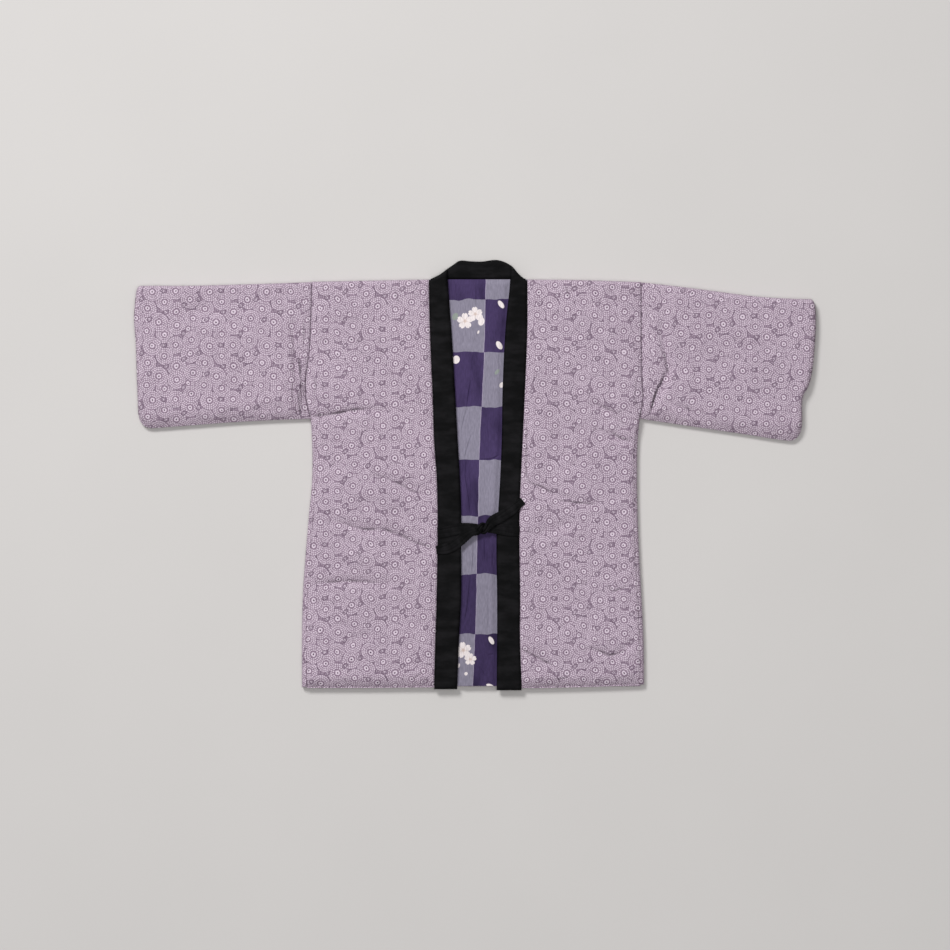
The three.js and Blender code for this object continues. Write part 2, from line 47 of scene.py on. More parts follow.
sideSeam = {
    "y": (-0.400, -0.310, -0.216, -0.141, -0.075, -0.010, 0.060, 0.104, 0.140, 0.172, 0.200, 0.235, 0.363),
    "left": (-0.316, -0.316, -0.314, -0.3085, -0.3035, -0.3005, -0.301,
             -0.3075, -0.3165, -0.3185, -0.3150, -0.3105, -0.306),
    "leftGusset": (0.009, 0.009, 0.009, 0.009, 0.0085, 0.0055, 0.005, 0.0015, 0, 0, 0, 0, 0),
    "right": (0.3105, 0.3095, 0.305, 0.301, 0.299, 0.299, 0.300,
              0.3080, 0.3155, 0.3140, 0.3130, 0.3125, 0.312),
    "rightGusset": (0.007, 0.007, 0.007, 0.007, 0.0065, 0.0055, 0.0055, 0.0015, 0, 0, 0, 0, 0),
}
collarLine = {
    "y": (-0.404, -0.300, -0.235, -0.115, -0.060, 0, 0.060, 0.150, 0.230, 0.290, 0.365, 0.404),
    "leftOuter": (-0.0765, -0.0735, -0.0715, -0.0695, -0.0695, -0.0715,
                  -0.076, -0.079, -0.0825, -0.0845, -0.086, -0.086),
    "leftInner": (-0.0335, -0.0295, -0.026, -0.026, -0.026, -0.0285,
                  -0.032, -0.037, -0.0415, -0.0455, -0.051, -0.052),
    "rightInner": (0.0405, 0.0415, 0.0415, 0.0405, 0.044, 0.0475,
                   0.050, 0.0515, 0.0545, 0.0585, 0.066, 0.067),
    "rightOuter": (0.0875, 0.084, 0.0845, 0.083, 0.0835, 0.086, 0.089, 0.093, 0.0965, 0.098, 0.098, 0.098),
}
bodyEnds = {
    "x": (-0.330, -0.200, -0.080, 0.090, 0.200, 0.320),
    "hem": (-0.3995, -0.3995, -0.3985, -0.400, -0.398, -0.394),
    "shoulder": (0.3625, 0.365, 0.367, 0.367, 0.366, 0.362),
}
sleeveEnds = {
    "left": {
        "x": (-0.639, -0.600, -0.538, -0.451, -0.387, -0.306),
        "lower": (0.086, 0.0885, 0.093, 0.0995, 0.103, 0.106),
        "upper": (0.355, 0.3555, 0.3555, 0.3575, 0.3595, 0.3625),
    },
    "right": {
        "x": (0.309, 0.367, 0.442, 0.517, 0.592, 0.639),
        "lower": (0.1065, 0.098, 0.0875, 0.077, 0.066, 0.062),
        "upper": (0.362, 0.3555, 0.346, 0.336, 0.331, 0.330),
    },
}
cuffEdge = {
    "left": {
        "y": (0.060, 0.113, 0.164, 0.250, 0.293, 0.355),
        "x": (-0.629, -0.631, -0.633, -0.636, -0.639, -0.634),
    },
    "right": {
        "y": (0.060, 0.100, 0.152, 0.161, 0.181, 0.250, 0.293, 0.330),
        "x": (0.611, 0.613, 0.616, 0.622, 0.629, 0.637, 0.639, 0.636),
    },
}
neckContour = {
    "x": (-0.0865, -0.0815, -0.066, -0.0525, -0.0385, -0.0305, -0.008, 0.012,
          0.040, 0.052, 0.062, 0.071, 0.080, 0.0925, 0.0985),
    "y": (0.365, 0.3688, 0.377, 0.387, 0.3965, 0.402, 0.4015, 0.401,
          0.404, 0.4015, 0.397, 0.391, 0.380, 0.3688, 0.365),
}
bothSides = ("left", "right")
outwards = {"left": -1, "right": 1}
upward = np.array([0, 0, 1])
seamGap = 0.0003
gussetGap = 0.00005  # from the middle of a side seam to the front, and to the gusset
leastWall = 0.0006  # no gusset is thinner, nor the band behind the neck
darkestCrease = 0.0014  # as deep as this, a crease is fully in shade


# A smooth curve through one column of a table.
def read(table, key, column, at):
    places, values = np.array(table[key], float), np.array(table[column], float)
    at = np.clip(at, places[0], places[-1])
    i = np.clip(np.searchsorted(places, at, side="right") - 1, 0, len(places) - 2)
    span = np.diff(places)
    rise = np.diff(values) / span
    slope = (np.append(rise[0], rise) + np.append(rise, rise[-1])) / 2
    t = (at - places[i]) / span[i]
    return (
        values[i] * (2 * t**3 - 3 * t**2 + 1)
        + slope[i] * span[i] * (t**3 - 2 * t**2 + t)
        + values[i + 1] * (3 * t**2 - 2 * t**3)
        + slope[i + 1] * span[i] * (t**3 - t**2)
    )


def reader(table, key, column):
    return lambda at: read(table, key, column, at)


hemAt = reader(bodyEnds, "x", "hem")
shoulderAt = reader(bodyEnds, "x", "shoulder")
neckAt = reader(neckContour, "x", "y")


def lerp(a, b, t):
    return a + (b - a) * t


def smooth(value, low, high):
    t = np.clip((value - low) / (high - low), 0, 1)
    return t * t * (3 - 2 * t)


def quarterRound(distance, reach):
    return np.sqrt(1 - np.clip(1 - distance / reach, 0, 1) ** 2)


def edgeDrop(distance, reach):
    return 1 - quarterRound(distance, reach)


def nearEdge(distance, reach, share):
    return share + (1 - share) * quarterRound(distance, reach)


# The same with a longer slope, for a wadded edge that rolls under.
def rolledEdge(distance, reach, share):
    return share + (1 - share) * quarterRound(distance, reach) ** 2


# An uneven, smooth rise and fall between about -1 and 1, with swells of about one pitch.
def swell(x, y, pitch, seed):
    draw = np.random.default_rng(seed)
    total = 0
    for _ in range(9):
        angle = draw.uniform(0, 2 * math.pi)
        own = pitch * draw.uniform(0.7, 1.6)
        along = x * math.cos(angle) + y * math.sin(angle)
        total = total + np.sin(2 * math.pi * along / own + draw.uniform(0, 2 * math.pi))
    return total / 4


# Small ripples across a seam, where the thread draws the cloth in. They die away from the seam.
def pucker(along, away, pitch, reach, seed):
    wander = 1.5 * np.sin(along * 74 + seed) + 1.1 * np.sin(along * 171 + 2 * seed)
    strength = 0.55 + 0.45 * np.sin(along * 103 + 3 * seed)
    return strength * np.sin(2 * math.pi * along / pitch + wander) * np.exp(-np.maximum(away, 0) / reach)


# Adds the ripples of a table. Each row is (edge, height, start, pitch, reach, seed step, where it grows), and
# "beside" holds, for each edge, the way along it and the distance from it.
def rippled(top, beside, table, seed):
    for edge, height, start, pitch, reach, step, grows in table:
        along, away = beside[edge]
        top = top + height * pucker(along, away - start, pitch, reach, seed + step) * smooth(away, *grows)
    return top


# The share of the loft that is left between the held edges of a piece.
def heldBetween(beside, table, rolled=None):
    held = 1
    for edge, (_, away) in beside.items():
        held = held * (rolledEdge if edge == rolled else nearEdge)(away, *table[edge])
    return held


def nearestOf(beside):
    return functools.reduce(np.minimum, [away for _, away in beside.values()])


# How far creases press the cloth down. Each is (drop, half width, points), and a ridge has a negative drop.
def pressed(creases, x, y, lips=0.0):
    total = np.zeros(np.broadcast(x, y).shape)
    for drop, halfWidth, along in creases:
        legs = list(zip(along[:-1], along[1:]))
        lengths = [math.dist(a, b) for a, b in legs]
        nearest = np.full(total.shape, 9.0)
        run = np.zeros(total.shape)
        for i, ((ax, ay), (bx, by)) in enumerate(legs):
            t = np.clip(((x - ax) * (bx - ax) + (y - ay) * (by - ay)) / lengths[i] ** 2, 0, 1)
            off = np.hypot(x - lerp(ax, bx, t), y - lerp(ay, by, t))
            closer = off < nearest
            run = np.where(closer, sum(lengths[:i]) + t * lengths[i], run)
            nearest = np.where(closer, off, nearest)
        strength = np.sqrt(np.sin(math.pi * np.clip(run / sum(lengths), 0, 1)))
        q = (nearest / halfWidth) ** 2
        total += drop * strength * np.exp(-q) * (1 - lips * q)
    return total


# Makes a crease deeper in some places than in others.
def uneven(x, y, seed):
    return np.clip(0.85 + 0.5 * swell(x, y, 0.026, seed), 0.25, 1.5)


# How dark each point of a creased grid is, as a map of its own.
def shadeOf(creased):
    shade = np.clip(creased / darkestCrease, 0, 1)
    return {"shade": np.stack([shade, 0 * shade], axis=-1)}


# Meshes


# Places across a width: close together near both ends and evenly spaced between them.
def spread(width, step, near=(0, 0.0004, 0.0011, 0.0022, 0.0038, 0.006)):
    count = max(1, round((width - 2 * near[-1]) / step))
    middle = np.linspace(near[-1], width - near[-1], count + 1)[1:-1]
    return np.concatenate([near, middle, width - np.array(near[::-1])])


# The same places, as shares of the width.
def shares(width, *steps, **settings):
    return spread(width, *steps, **settings) / width


# A panel's plan: its sides are read by y, and its ends, which aren't quite straight, by x.
def planGrid(us, rows, left, right, low, high, endReach=0.030):
    u, row = us[None, :], rows[:, None]
    x = lerp(left(row), right(row), u)
    nearLow = np.clip(1 - (row - low(0)) / endReach, 0, 1)
    nearHigh = np.clip(1 - (high(0) - row) / endReach, 0, 1)
    y = row + nearLow * (low(x) - low(0)) + nearHigh * (high(x) - high(0))
    return lerp(left(y), right(y), u), y


def stack(x, y, z):
    x, y, z = np.broadcast_arrays(x, y, z)
    return np.stack([x, y, z], axis=-1)


# Where each point of a grid lies on the flat cloth, measured along its rows and columns from the middle.
def flatPlaces(points):
    midRow, midColumn = points.shape[0] // 2, points.shape[1] // 2
    across = np.linalg.norm(np.diff(points, axis=1), axis=2)
    along = np.linalg.norm(np.diff(points, axis=0), axis=2)
    u = np.concatenate([np.zeros((points.shape[0], 1)), np.cumsum(across, axis=1)], axis=1)
    v = np.concatenate([np.zeros((1, points.shape[1])), np.cumsum(along, axis=0)], axis=0)
    u = u - u[:, midColumn : midColumn + 1] + points[:, midColumn : midColumn + 1, 0]
    v = v - v[midRow : midRow + 1, :] + points[midRow : midRow + 1, :, 1]
    return np.stack([u, v], axis=-1)


def quadsOf(index):
    a, b, c, d = index[:-1, :-1], index[:-1, 1:], index[1:, 1:], index[1:, :-1]
    return np.stack([a, b, c, d], axis=-1).reshape(-1, 4)


def meshPiece(name, points, faces, maps):
    mesh = bpy.data.meshes.new(name)
    mesh.from_pydata(points.tolist(), [], faces)
    corner = np.empty(len(mesh.loops), dtype=np.int32)
    mesh.loops.foreach_get("vertex_index", corner)
    for layer, places in maps.items():
        mesh.uv_layers.new(name=layer).data.foreach_set("uv", places[corner].astype(np.float32).ravel())
    piece = bpy.data.objects.new(name, mesh)
    bpy.context.scene.collection.objects.link(piece)
    work = bmesh.new()
    work.from_mesh(mesh)
    bmesh.ops.recalc_face_normals(work, faces=work.faces)
    work.to_mesh(mesh)
    work.free()
    mesh.polygons.foreach_set("use_smooth", [True] * len(mesh.polygons))
    mesh.update()
    return piece


# A closed cloth wall between an upper and a lower grid of the same rows and columns.
def wallPiece(name, top, under, extraMaps=None, plainUnder=False):
    rows, columns = top.shape[:2]
    count = rows * columns
    upper = np.arange(count).reshape(rows, columns)
    lower = upper + count
    faces = quadsOf(upper).tolist()
    if plainUnder:
        # Long strips from side to side under the middle, and the full grid only near both ends.
        ends = 7
        faces += quadsOf(lower[:ends]).tolist() + quadsOf(lower[-ends:]).tolist()
        faces += quadsOf(lower[ends : rows - ends][:, [0, -1]]).tolist()
        faces.append([*lower[ends - 1].tolist(), int(lower[ends, -1]), int(lower[ends, 0])])
        faces.append([*lower[-ends].tolist(), int(lower[-ends - 1, -1]), int(lower[-ends - 1, 0])])
    else:
        faces += quadsOf(lower).tolist()
    for edge in (0, -1):
        faces += quadsOf(np.stack([lower[edge], upper[edge]])).tolist()
        faces += quadsOf(np.stack([lower[:, edge], upper[:, edge]])).tolist()
    used = np.unique(np.concatenate(faces))
    place = np.zeros(2 * count, dtype=int)
    place[used] = np.arange(len(used))
    faces = [place[face].tolist() for face in faces]
    points = np.concatenate([top.reshape(-1, 3), under.reshape(-1, 3)])[used]
    layers = {"cloth": flatPlaces(top), **(extraMaps or {})}
    maps = {layer: np.concatenate([places.reshape(-1, 2)] * 2)[used] for layer, places in layers.items()}
    return meshPiece(name, points, faces, maps)


# Nodes and materials


def tone(red, green, blue):
    channels = [((c / 255 + 0.055) / 1.055) ** 2.4 if c > 10 else c / 255 / 12.92 for c in (red, green, blue)]
    return (*channels, 1)


def addNode(tree, kind, inputs=None, **settings):
    node = tree.nodes.new(kind)
    for name, value in settings.items():
        setattr(node, name, value)
    for key, value in (inputs or {}).items():
        if isinstance(value, bpy.types.NodeSocket):
            tree.links.new(value, node.inputs[key])
        else:
            node.inputs[key].default_value = value
    return node


def calc(tree, operation, *values):
    return addNode(tree, "ShaderNodeMath", dict(enumerate(values)), operation=operation).outputs[0]


def times(tree, first, second):
    return calc(tree, "MULTIPLY", first, second)


def plus(tree, first, second):
    return calc(tree, "ADD", first, second)


def minus(tree, first, second):
    return calc(tree, "SUBTRACT", first, second)


def plusShare(tree, first, share, second):
    return calc(tree, "MULTIPLY_ADD", second, share, first)


def vectorCalc(tree, operation, *values):
    inputs = dict(enumerate(values))
    return addNode(tree, "ShaderNodeVectorMath", inputs, operation=operation).outputs["Vector"]


def lengthOf(tree, place):
    return addNode(tree, "ShaderNodeVectorMath", {0: place}, operation="LENGTH").outputs["Value"]


def axesOf(tree, place):
    return addNode(tree, "ShaderNodeSeparateXYZ", {0: place}).outputs


def flatPlace(tree, x, y):
    return addNode(tree, "ShaderNodeCombineXYZ", {0: x, 1: y}).outputs[0]


def rampUp(tree, value, low, high):
    settings = {"Value": value, "From Min": low, "From Max": high}
    return addNode(tree, "ShaderNodeMapRange", settings, interpolation_type="SMOOTHSTEP").outputs[0]


def rampDown(tree, value, low, high):
    return minus(tree, 1.0, rampUp(tree, value, low, high))


def mixColour(tree, share, first, second):
    return addNode(tree, "ShaderNodeMix", {0: share, 6: first, 7: second}, data_type="RGBA").outputs[2]


def mixPlace(tree, share, first, second):
    return addNode(tree, "ShaderNodeMix", {0: share, 4: first, 5: second}, data_type="VECTOR").outputs[1]


def withValue(tree, colour, value):
    return addNode(tree, "ShaderNodeHueSaturation", {"Color": colour, "Value": value}).outputs[0]


def paint(tree, shader, colour):
    tree.links.new(colour, shader.inputs["Base Color"])


def newMaterial(name, roughness, **shaderSettings):
    material = bpy.data.materials.new(name)
    material.use_nodes = True
    tree = material.node_tree
    shader = tree.nodes["Principled BSDF"]
    shader.inputs["Roughness"].default_value = roughness
    for socket, value in shaderSettings.items():
        shader.inputs[socket.replace("_", " ")].default_value = value
    return material, tree, shader


def clothMap(tree, layer="cloth"):
    return addNode(tree, "ShaderNodeUVMap", uv_map=layer).outputs[0]


# Threads that go over and under each other, as a height from -1 to 1.
def weave(tree, place, pitch):
    axes = axesOf(tree, place)
    warp, weft = (calc(tree, "SINE", times(tree, axis, math.pi / pitch)) for axis in axes[:2])
    return times(tree, warp, weft)


def noise(tree, place, scale, detail=2.0, roughness=0.5):
    settings = {"Vector": place, "Scale": scale, "Detail": detail, "Roughness": roughness}
    return addNode(tree, "ShaderNodeTexNoise", settings).outputs["Fac"]


# A place pushed about by the noise of the cloth, so what is drawn there is a little uneven.
def shaken(tree, place, cloth, scale, detail, reach):
    settings = {"Vector": cloth, "Scale": scale, "Detail": detail}
    colour = addNode(tree, "ShaderNodeTexNoise", settings).outputs["Color"]
    return vectorCalc(tree, "MULTIPLY_ADD", colour, (*reach, 0), place)


def turned(tree, place, degrees):
    settings = {"Vector": place, "Angle": math.radians(-degrees)}
    return addNode(tree, "ShaderNodeVectorRotate", settings, rotation_type="Z_AXIS").outputs[0]


def bumpFrom(tree, shader, height, strength, distance):
    bump = addNode(tree, "ShaderNodeBump", {"Strength": strength, "Distance": distance, "Height": height})
    tree.links.new(bump.outputs[0], shader.inputs["Normal"])


# Print: dotted rounds that overlap like scales, with small leaves between them. Each round is a pale ring
# about a dark dot, then rings of pale dots. One repeat is charted, from its lowest round to its topmost.
# Rounds are (x, y, size) and leaves (x, y, turn in degrees). Dots, rings and rims are in millimetres.

printCloth = {
    "repeat": (0.1075, 0.1018), "radius": 0.0177, "leaf": (0.0062, 0.0042),
    "rounds": [
        (0.0895, 0.0020, 0.90), (0.0125, 0.0185, 0.90), (0.0445, 0.0745, 0.90), (0.0134, 0.0403, 1.00),
        (0.0451, 0.0950, 0.95), (0.0346, 0.0154, 1.05), (0.0662, 0.0739, 0.97), (0.0931, 0.0576, 1.03),
        (0.0115, 0.0998, 0.94), (0.0672, 0.0346, 1.07), (0.0451, 0.0538, 0.96), (0.0682, 0.0086, 1.00),
        (0.0960, 0.0835, 0.95), (0.0221, 0.0720, 1.04), (0.0989, 0.0221, 0.98),
    ],
    "leaves": [(0.0816, 0.0470, 40), (0.0480, 0.0346, 15), (0.0806, 0.0960, 70),
               (0.0432, 0.0749, 5), (0.0019, 0.0586, 60), (0.0173, 0.0202, 30)],
    "dot": 1.55, "ring": 4.1, "groove": 6.2, "dotPitch": 3.7, "rim": 1.0, "veins": 9.0,
    "wobble": (45.0, 1.0, (0.0024, 0.0024)), "shake": (380.0, 0.0, (0.0024, 0.0024)),
    "ground": tone(134, 115, 133), "round": tone(150, 130, 148), "near": tone(140, 120, 138),
    "pale": tone(214, 198, 212), "centre": tone(218, 202, 216), "dark": tone(97, 81, 97),
    "rimTone": tone(108, 90, 108), "faint": tone(172, 154, 170), "leafEdge": tone(122, 103, 121),
    "thread": 0.00045, "creaseShade": 0.5,
}


def printMaterial():
    s = printCloth
    material, tree, shader = newMaterial(
        "printed cotton", 0.86, Sheen_Weight=0.06, Sheen_Roughness=0.5, Specular_IOR_Level=0.15)
    cloth = clothMap(tree)
    drawn = shaken(tree, shaken(tree, cloth, cloth, *s["wobble"]), cloth, *s["shake"])
    width, height = s["repeat"]

    def fromCharted(x, y):
        moved = vectorCalc(tree, "SUBTRACT", drawn, (x, y, 0))
        return vectorCalc(tree, "WRAP", moved, (width / 2, height / 2, 1), (-width / 2, -height / 2, -1))

    spoke = (1.0, 1.0, 0.0)
    for x, y, size in s["rounds"]:
        own = vectorCalc(tree, "MULTIPLY", fromCharted(x, y), (1 / size, 1 / size, 0))
        inside = calc(tree, "LESS_THAN", lengthOf(tree, own), s["radius"])
        spoke = mixPlace(tree, inside, spoke, own)

    axes = axesOf(tree, spoke)
    away = times(tree, lengthOf(tree, spoke), 1000.0)  # millimetres from here on
    turn = calc(tree, "DIVIDE", calc(tree, "ARCTAN2", axes[1], axes[0]), 2 * math.pi)
    past = calc(tree, "DIVIDE", minus(tree, away, s["groove"]), s["dotPitch"])
    rank = calc(tree, "FLOOR", past)
    girth = plus(tree, plus(tree, rank, 0.5), s["groove"] / s["dotPitch"])
    dots = calc(tree, "ROUND", times(tree, girth, 2 * math.pi))
    across = minus(tree, calc(tree, "FRACT", past), 0.5)
    aside = calc(tree, "MULTIPLY_ADD", turn, dots, times(tree, rank, 0.5))
    aside = minus(tree, calc(tree, "FRACT", aside), 0.5)
    dotted = rampDown(tree, lengthOf(tree, flatPlace(tree, across, aside)), 0.30, 0.44)
    # The ground between the rounds has a fainter scatter of dots.
    cells = addNode(
        tree, "ShaderNodeTexVoronoi", {"Vector": cloth, "Scale": 1000 / s["dotPitch"], "Randomness": 0.5},
        voronoi_dimensions="2D").outputs["Distance"]
    scatter = rampDown(tree, cells, 0.20, 0.42)

    def within(limit, soft):
        return rampDown(tree, away, limit - soft, limit + soft)

    edge = s["radius"] * 1000
    between = mixColour(tree, within(11.0, 3.0), s["round"], s["near"])
    colour = mixColour(tree, dotted, between, s["pale"])
    colour = mixColour(tree, within(s["groove"], 0.3), colour, s["near"])
    colour = mixColour(tree, within(s["ring"], 0.3), colour, s["centre"])
    colour = mixColour(tree, within(s["dot"], 0.3), colour, s["dark"])
    ground = mixColour(tree, scatter, s["ground"], s["faint"])
    broken = rampUp(tree, noise(tree, cloth, 95.0, 1.0), 0.44, 0.60)
    rim = mixColour(tree, broken, between, s["rimTone"])
    rim = mixColour(tree, within(edge, 0.1), ground, rim)
    colour = mixColour(tree, within(edge - s["rim"], 0.3), rim, colour)

    # A leaf is pale with a dark outline and dark slanting veins.
    halfLength, halfWidth = s["leaf"]
    for x, y, degrees in s["leaves"]:
        own = turned(tree, fromCharted(x, y), degrees)
        scaled = vectorCalc(tree, "MULTIPLY", own, (1 / halfLength, 1 / halfWidth, 0))
        reach, parts = lengthOf(tree, scaled), axesOf(tree, scaled)
        vein = plus(tree, parts[0], times(tree, calc(tree, "ABSOLUTE", parts[1]), 0.8))
        vein = calc(tree, "SINE", times(tree, vein, s["veins"]))
        leaf = mixColour(tree, rampUp(tree, vein, -0.2, 0.6), s["ground"], s["pale"])
        leaf = mixColour(tree, rampUp(tree, reach, 0.56, 0.72), leaf, s["leafEdge"])
        colour = mixColour(tree, calc(tree, "LESS_THAN", reach, 1.0), colour, leaf)

    # The cloth fades in large soft patches, and little light reaches the bottom of a crease.
    fading = calc(tree, "MULTIPLY_ADD", noise(tree, cloth, 9.0, 3.0), 0.16, 0.92)
    shade = axesOf(tree, clothMap(tree, "shade"))[0]
    value = times(tree, fading, calc(tree, "MULTIPLY_ADD", shade, -s["creaseShade"], 1.0))
    paint(tree, shader, withValue(tree, colour, value))

    threads = weave(tree, cloth, s["thread"])
    slubs = noise(tree, cloth, 900.0, 2.0)
    height = plusShare(tree, plusShare(tree, threads, 0.8, slubs), 2.0, noise(tree, cloth, 160.0, 3.0))
    bumpFrom(tree, shader, height, 0.35, 0.00022)
    return material


# Lining: squares of purple and grey with pale blossoms printed over them

checkCloth = {
    "side": 0.104,
    "rows": {"y": (-0.397, -0.299, -0.187, -0.0765, 0.0273, 0.128, 0.231, 0.330, 0.434),
             "count": (0, 1, 2, 3, 4, 5, 6, 7, 8)},
    "seam": {"y": (-0.397, -0.299, -0.192, -0.077, 0.028, 0.130, 0.244, 0.365),
             "x": (-0.0038, 0.0004, 0.0028, 0.0056, 0.0081, 0.0124, 0.0179, 0.0197)},
    "purple": tone(70, 56, 95), "grey": tone(138, 133, 150), "deep": tone(46, 35, 67),
    "seamEdge": tone(168, 156, 180), "petal": tone(238, 228, 228), "heart": tone(214, 194, 186),
    "leaf": tone(150, 168, 142), "thread": 0.0004, "deeperBelow": 0.38, "brighterAbove": 0.08,
}
# Blossoms are (x, y, radius, turn) and loose petals (x, y, half length, half width, turn in degrees).
blossoms = [
    (-0.0188, 0.2890, 0.0158, 56), (0.0006, 0.3022, 0.0142, 61),
    (-0.0220, -0.3288, 0.0160, 62), (-0.0088, -0.3459, 0.0120, 50),
]
petals = [
    (0.0118, 0.2880, 0.0078, 0.0058, 75), (0.0108, 0.2965, 0.0070, 0.0038, 105),
    (0.0062, 0.2682, 0.0034, 0.0018, 70), (0.0489, 0.3202, 0.0084, 0.0043, -54),
    (0.0455, 0.2435, 0.0085, 0.0050, -58), (-0.0355, 0.2165, 0.0078, 0.0068, 70),
    (0.0500, 0.1690, 0.0055, 0.0040, 60), (-0.0303, -0.3578, 0.0042, 0.0021, 80),
    (-0.0169, -0.3730, 0.0034, 0.0030, 60), (0.0306, -0.3106, 0.0082, 0.0042, -60),
    (0.0278, -0.3952, 0.0070, 0.0030, -15),
]
leaves = [(-0.0372, 0.2975, 0.0072, 0.0052, 60), (0.0415, 0.1935, 0.0060, 0.0032, 50)]


def turnedPlace(tree, place, x, y, degrees):
    return turned(tree, vectorCalc(tree, "SUBTRACT", place, (x, y, 0)), degrees)


def petalShape(tree, place, x, y, halfLength, halfWidth, degrees):
    own = turnedPlace(tree, place, x, y, degrees)
    scaled = vectorCalc(tree, "MULTIPLY", own, (1 / halfLength, 1 / halfWidth, 0))
    return rampDown(tree, lengthOf(tree, scaled), 0.92, 1.06)


# Five rounded petals with a notch at each tip. Gives the petals and the lines between them and at the heart.
def blossomShape(tree, place, x, y, radius, degrees):
    axes = axesOf(tree, turnedPlace(tree, place, x, y, degrees))
    away = calc(tree, "DIVIDE", lengthOf(tree, flatPlace(tree, axes[0], axes[1])), radius)
    fifth = times(tree, calc(tree, "ARCTAN2", axes[1], axes[0]), 5 / (2 * math.pi))
    middle = calc(tree, "ABSOLUTE", minus(tree, calc(tree, "FRACT", fifth), 0.5))  # 0 along a petal
    lobe = calc(tree, "POWER", calc(tree, "COSINE", times(tree, middle, math.pi)), 0.45)
    notch = times(tree, rampDown(tree, middle, 0.0, 0.09), 0.13)
    reach = minus(tree, calc(tree, "MULTIPLY_ADD", lobe, 0.56, 0.42), notch)
    shape = rampUp(tree, minus(tree, reach, away), -0.03, 0.04)
    between = times(tree, rampUp(tree, middle, 0.40, 0.49), rampDown(tree, away, 0.3, 0.62))
    return shape, calc(tree, "MAXIMUM", between, rampDown(tree, away, 0.10, 0.30))


def checkMaterial():
    s = checkCloth
    material, tree, shader = newMaterial(
        "check cotton", 0.72, Sheen_Weight=0.02, Sheen_Roughness=0.4, Specular_IOR_Level=0.12)
    cloth = clothMap(tree)
    squares = shaken(tree, clothMap(tree, "squares"), cloth, 34.0, 1.0, (0.03, 0.12))
    axes = axesOf(tree, vectorCalc(tree, "ADD", squares, (-0.015, -0.06, 0)))
    count = plus(tree, calc(tree, "FLOOR", axes[0]), calc(tree, "FLOOR", axes[1]))
    isGrey = calc(tree, "GREATER_THAN", calc(tree, "FRACT", times(tree, count, 0.5)), 0.25)
    crepe = noise(tree, vectorCalc(tree, "MULTIPLY", cloth, (1.0, 0.22, 1.0)), 420.0, 3.0)
    patches = noise(tree, vectorCalc(tree, "MULTIPLY", cloth, (1.0, 0.35, 1.0)), 24.0, 3.0)
    # The lower part is darker than the part by the neck, and the part by the neck a little lighter.
    upper = rampUp(tree, axesOf(tree, cloth)[1], -0.20, -0.05)
    deeper = plus(tree, rampUp(tree, patches, 0.42, 0.75), s["deeperBelow"])
    deeper = minus(tree, deeper, times(tree, upper, s["deeperBelow"]))
    purple = mixColour(tree, deeper, s["purple"], s["deep"])
    colour = mixColour(tree, isGrey, purple, s["grey"])
    # The seam between the columns is pressed open, and its edge catches the light.
    beside = rampDown(tree, calc(tree, "ABSOLUTE", axes[0]), 0.006, 0.016)
    colour = mixColour(tree, times(tree, times(tree, beside, isGrey), 0.75), colour, s["seamEdge"])
    for leaf in leaves:
        colour = mixColour(tree, times(tree, petalShape(tree, cloth, *leaf), 0.5), colour, s["leaf"])
    for petal in petals:
        colour = mixColour(tree, petalShape(tree, cloth, *petal), colour, s["petal"])
    for blossom in blossoms:
        shape, lines = blossomShape(tree, cloth, *blossom)
        colour = mixColour(tree, shape, colour, mixColour(tree, lines, s["petal"], s["heart"]))
    value = plus(tree, calc(tree, "MULTIPLY_ADD", crepe, 0.7, 0.56), times(tree, upper, s["brighterAbove"]))
    paint(tree, shader, withValue(tree, colour, value))
    height = plusShare(tree, weave(tree, cloth, s["thread"]), 1.6, crepe)
    bumpFrom(tree, shader, height, 0.3, 0.0002)
    return material


# Neckband and ties: black cotton sateen

blackCloth = {"colour": tone(7, 7, 8), "worn": tone(25, 24, 26), "thread": 0.0005}


def blackMaterial(name, roughness, rib):
    s = blackCloth
    material, tree, shader = newMaterial(name, roughness, Sheen_Weight=0.0, Specular_IOR_Level=0.07)
    cloth = clothMap(tree)
    patches = noise(tree, vectorCalc(tree, "MULTIPLY", cloth, (0.6, 1.6, 1.0)), 30.0, 4.0, 0.6)
    paint(tree, shader, mixColour(tree, rampUp(tree, patches, 0.36, 0.72), s["colour"], s["worn"]))
    axes = axesOf(tree, vectorCalc(tree, "MULTIPLY", cloth, (1.0, rib, 1.0)))
    twill = calc(tree, "SINE", times(tree, plus(tree, axes[0], axes[1]), 2 * math.pi / s["thread"]))
    height = plusShare(tree, times(tree, twill, 0.5), 1.8, noise(tree, cloth, 240.0, 3.0))
    bumpFrom(tree, shader, height, 0.3, 0.0002)
    return material


def threadMaterial(name, colour):
    material, tree, shader = newMaterial(name, 0.6, Sheen_Weight=0.2)
    place = addNode(tree, "ShaderNodeTexCoord").outputs["Object"]
    strands = noise(tree, place, 2600.0, 1.0)
    darker = [c * 0.7 for c in colour]
    paint(tree, shader, mixColour(tree, strands, tone(*colour), tone(*darker)))
    bumpFrom(tree, shader, strands, 0.4, 0.0001)
    return material


printed = printMaterial()
checked = checkMaterial()
sateen = blackMaterial("black sateen", 0.62, 0.6)
tape = blackMaterial("black tape", 0.7, 0.2)
mauveThread = threadMaterial("mauve thread", (150, 130, 150))
blackThread = threadMaterial("black thread", (30, 29, 31))
print("materials made")


def dress(piece, material, slot, *nodes):
    piece.data.materials.append(material)
    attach(piece, "root")
    if nodes:
        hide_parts(*nodes)
    return piece


def dressBoth(make, material, slot, stem):
    return {side: dress(make(side), material, slot, stem + side) for side in bothSides}


# Body

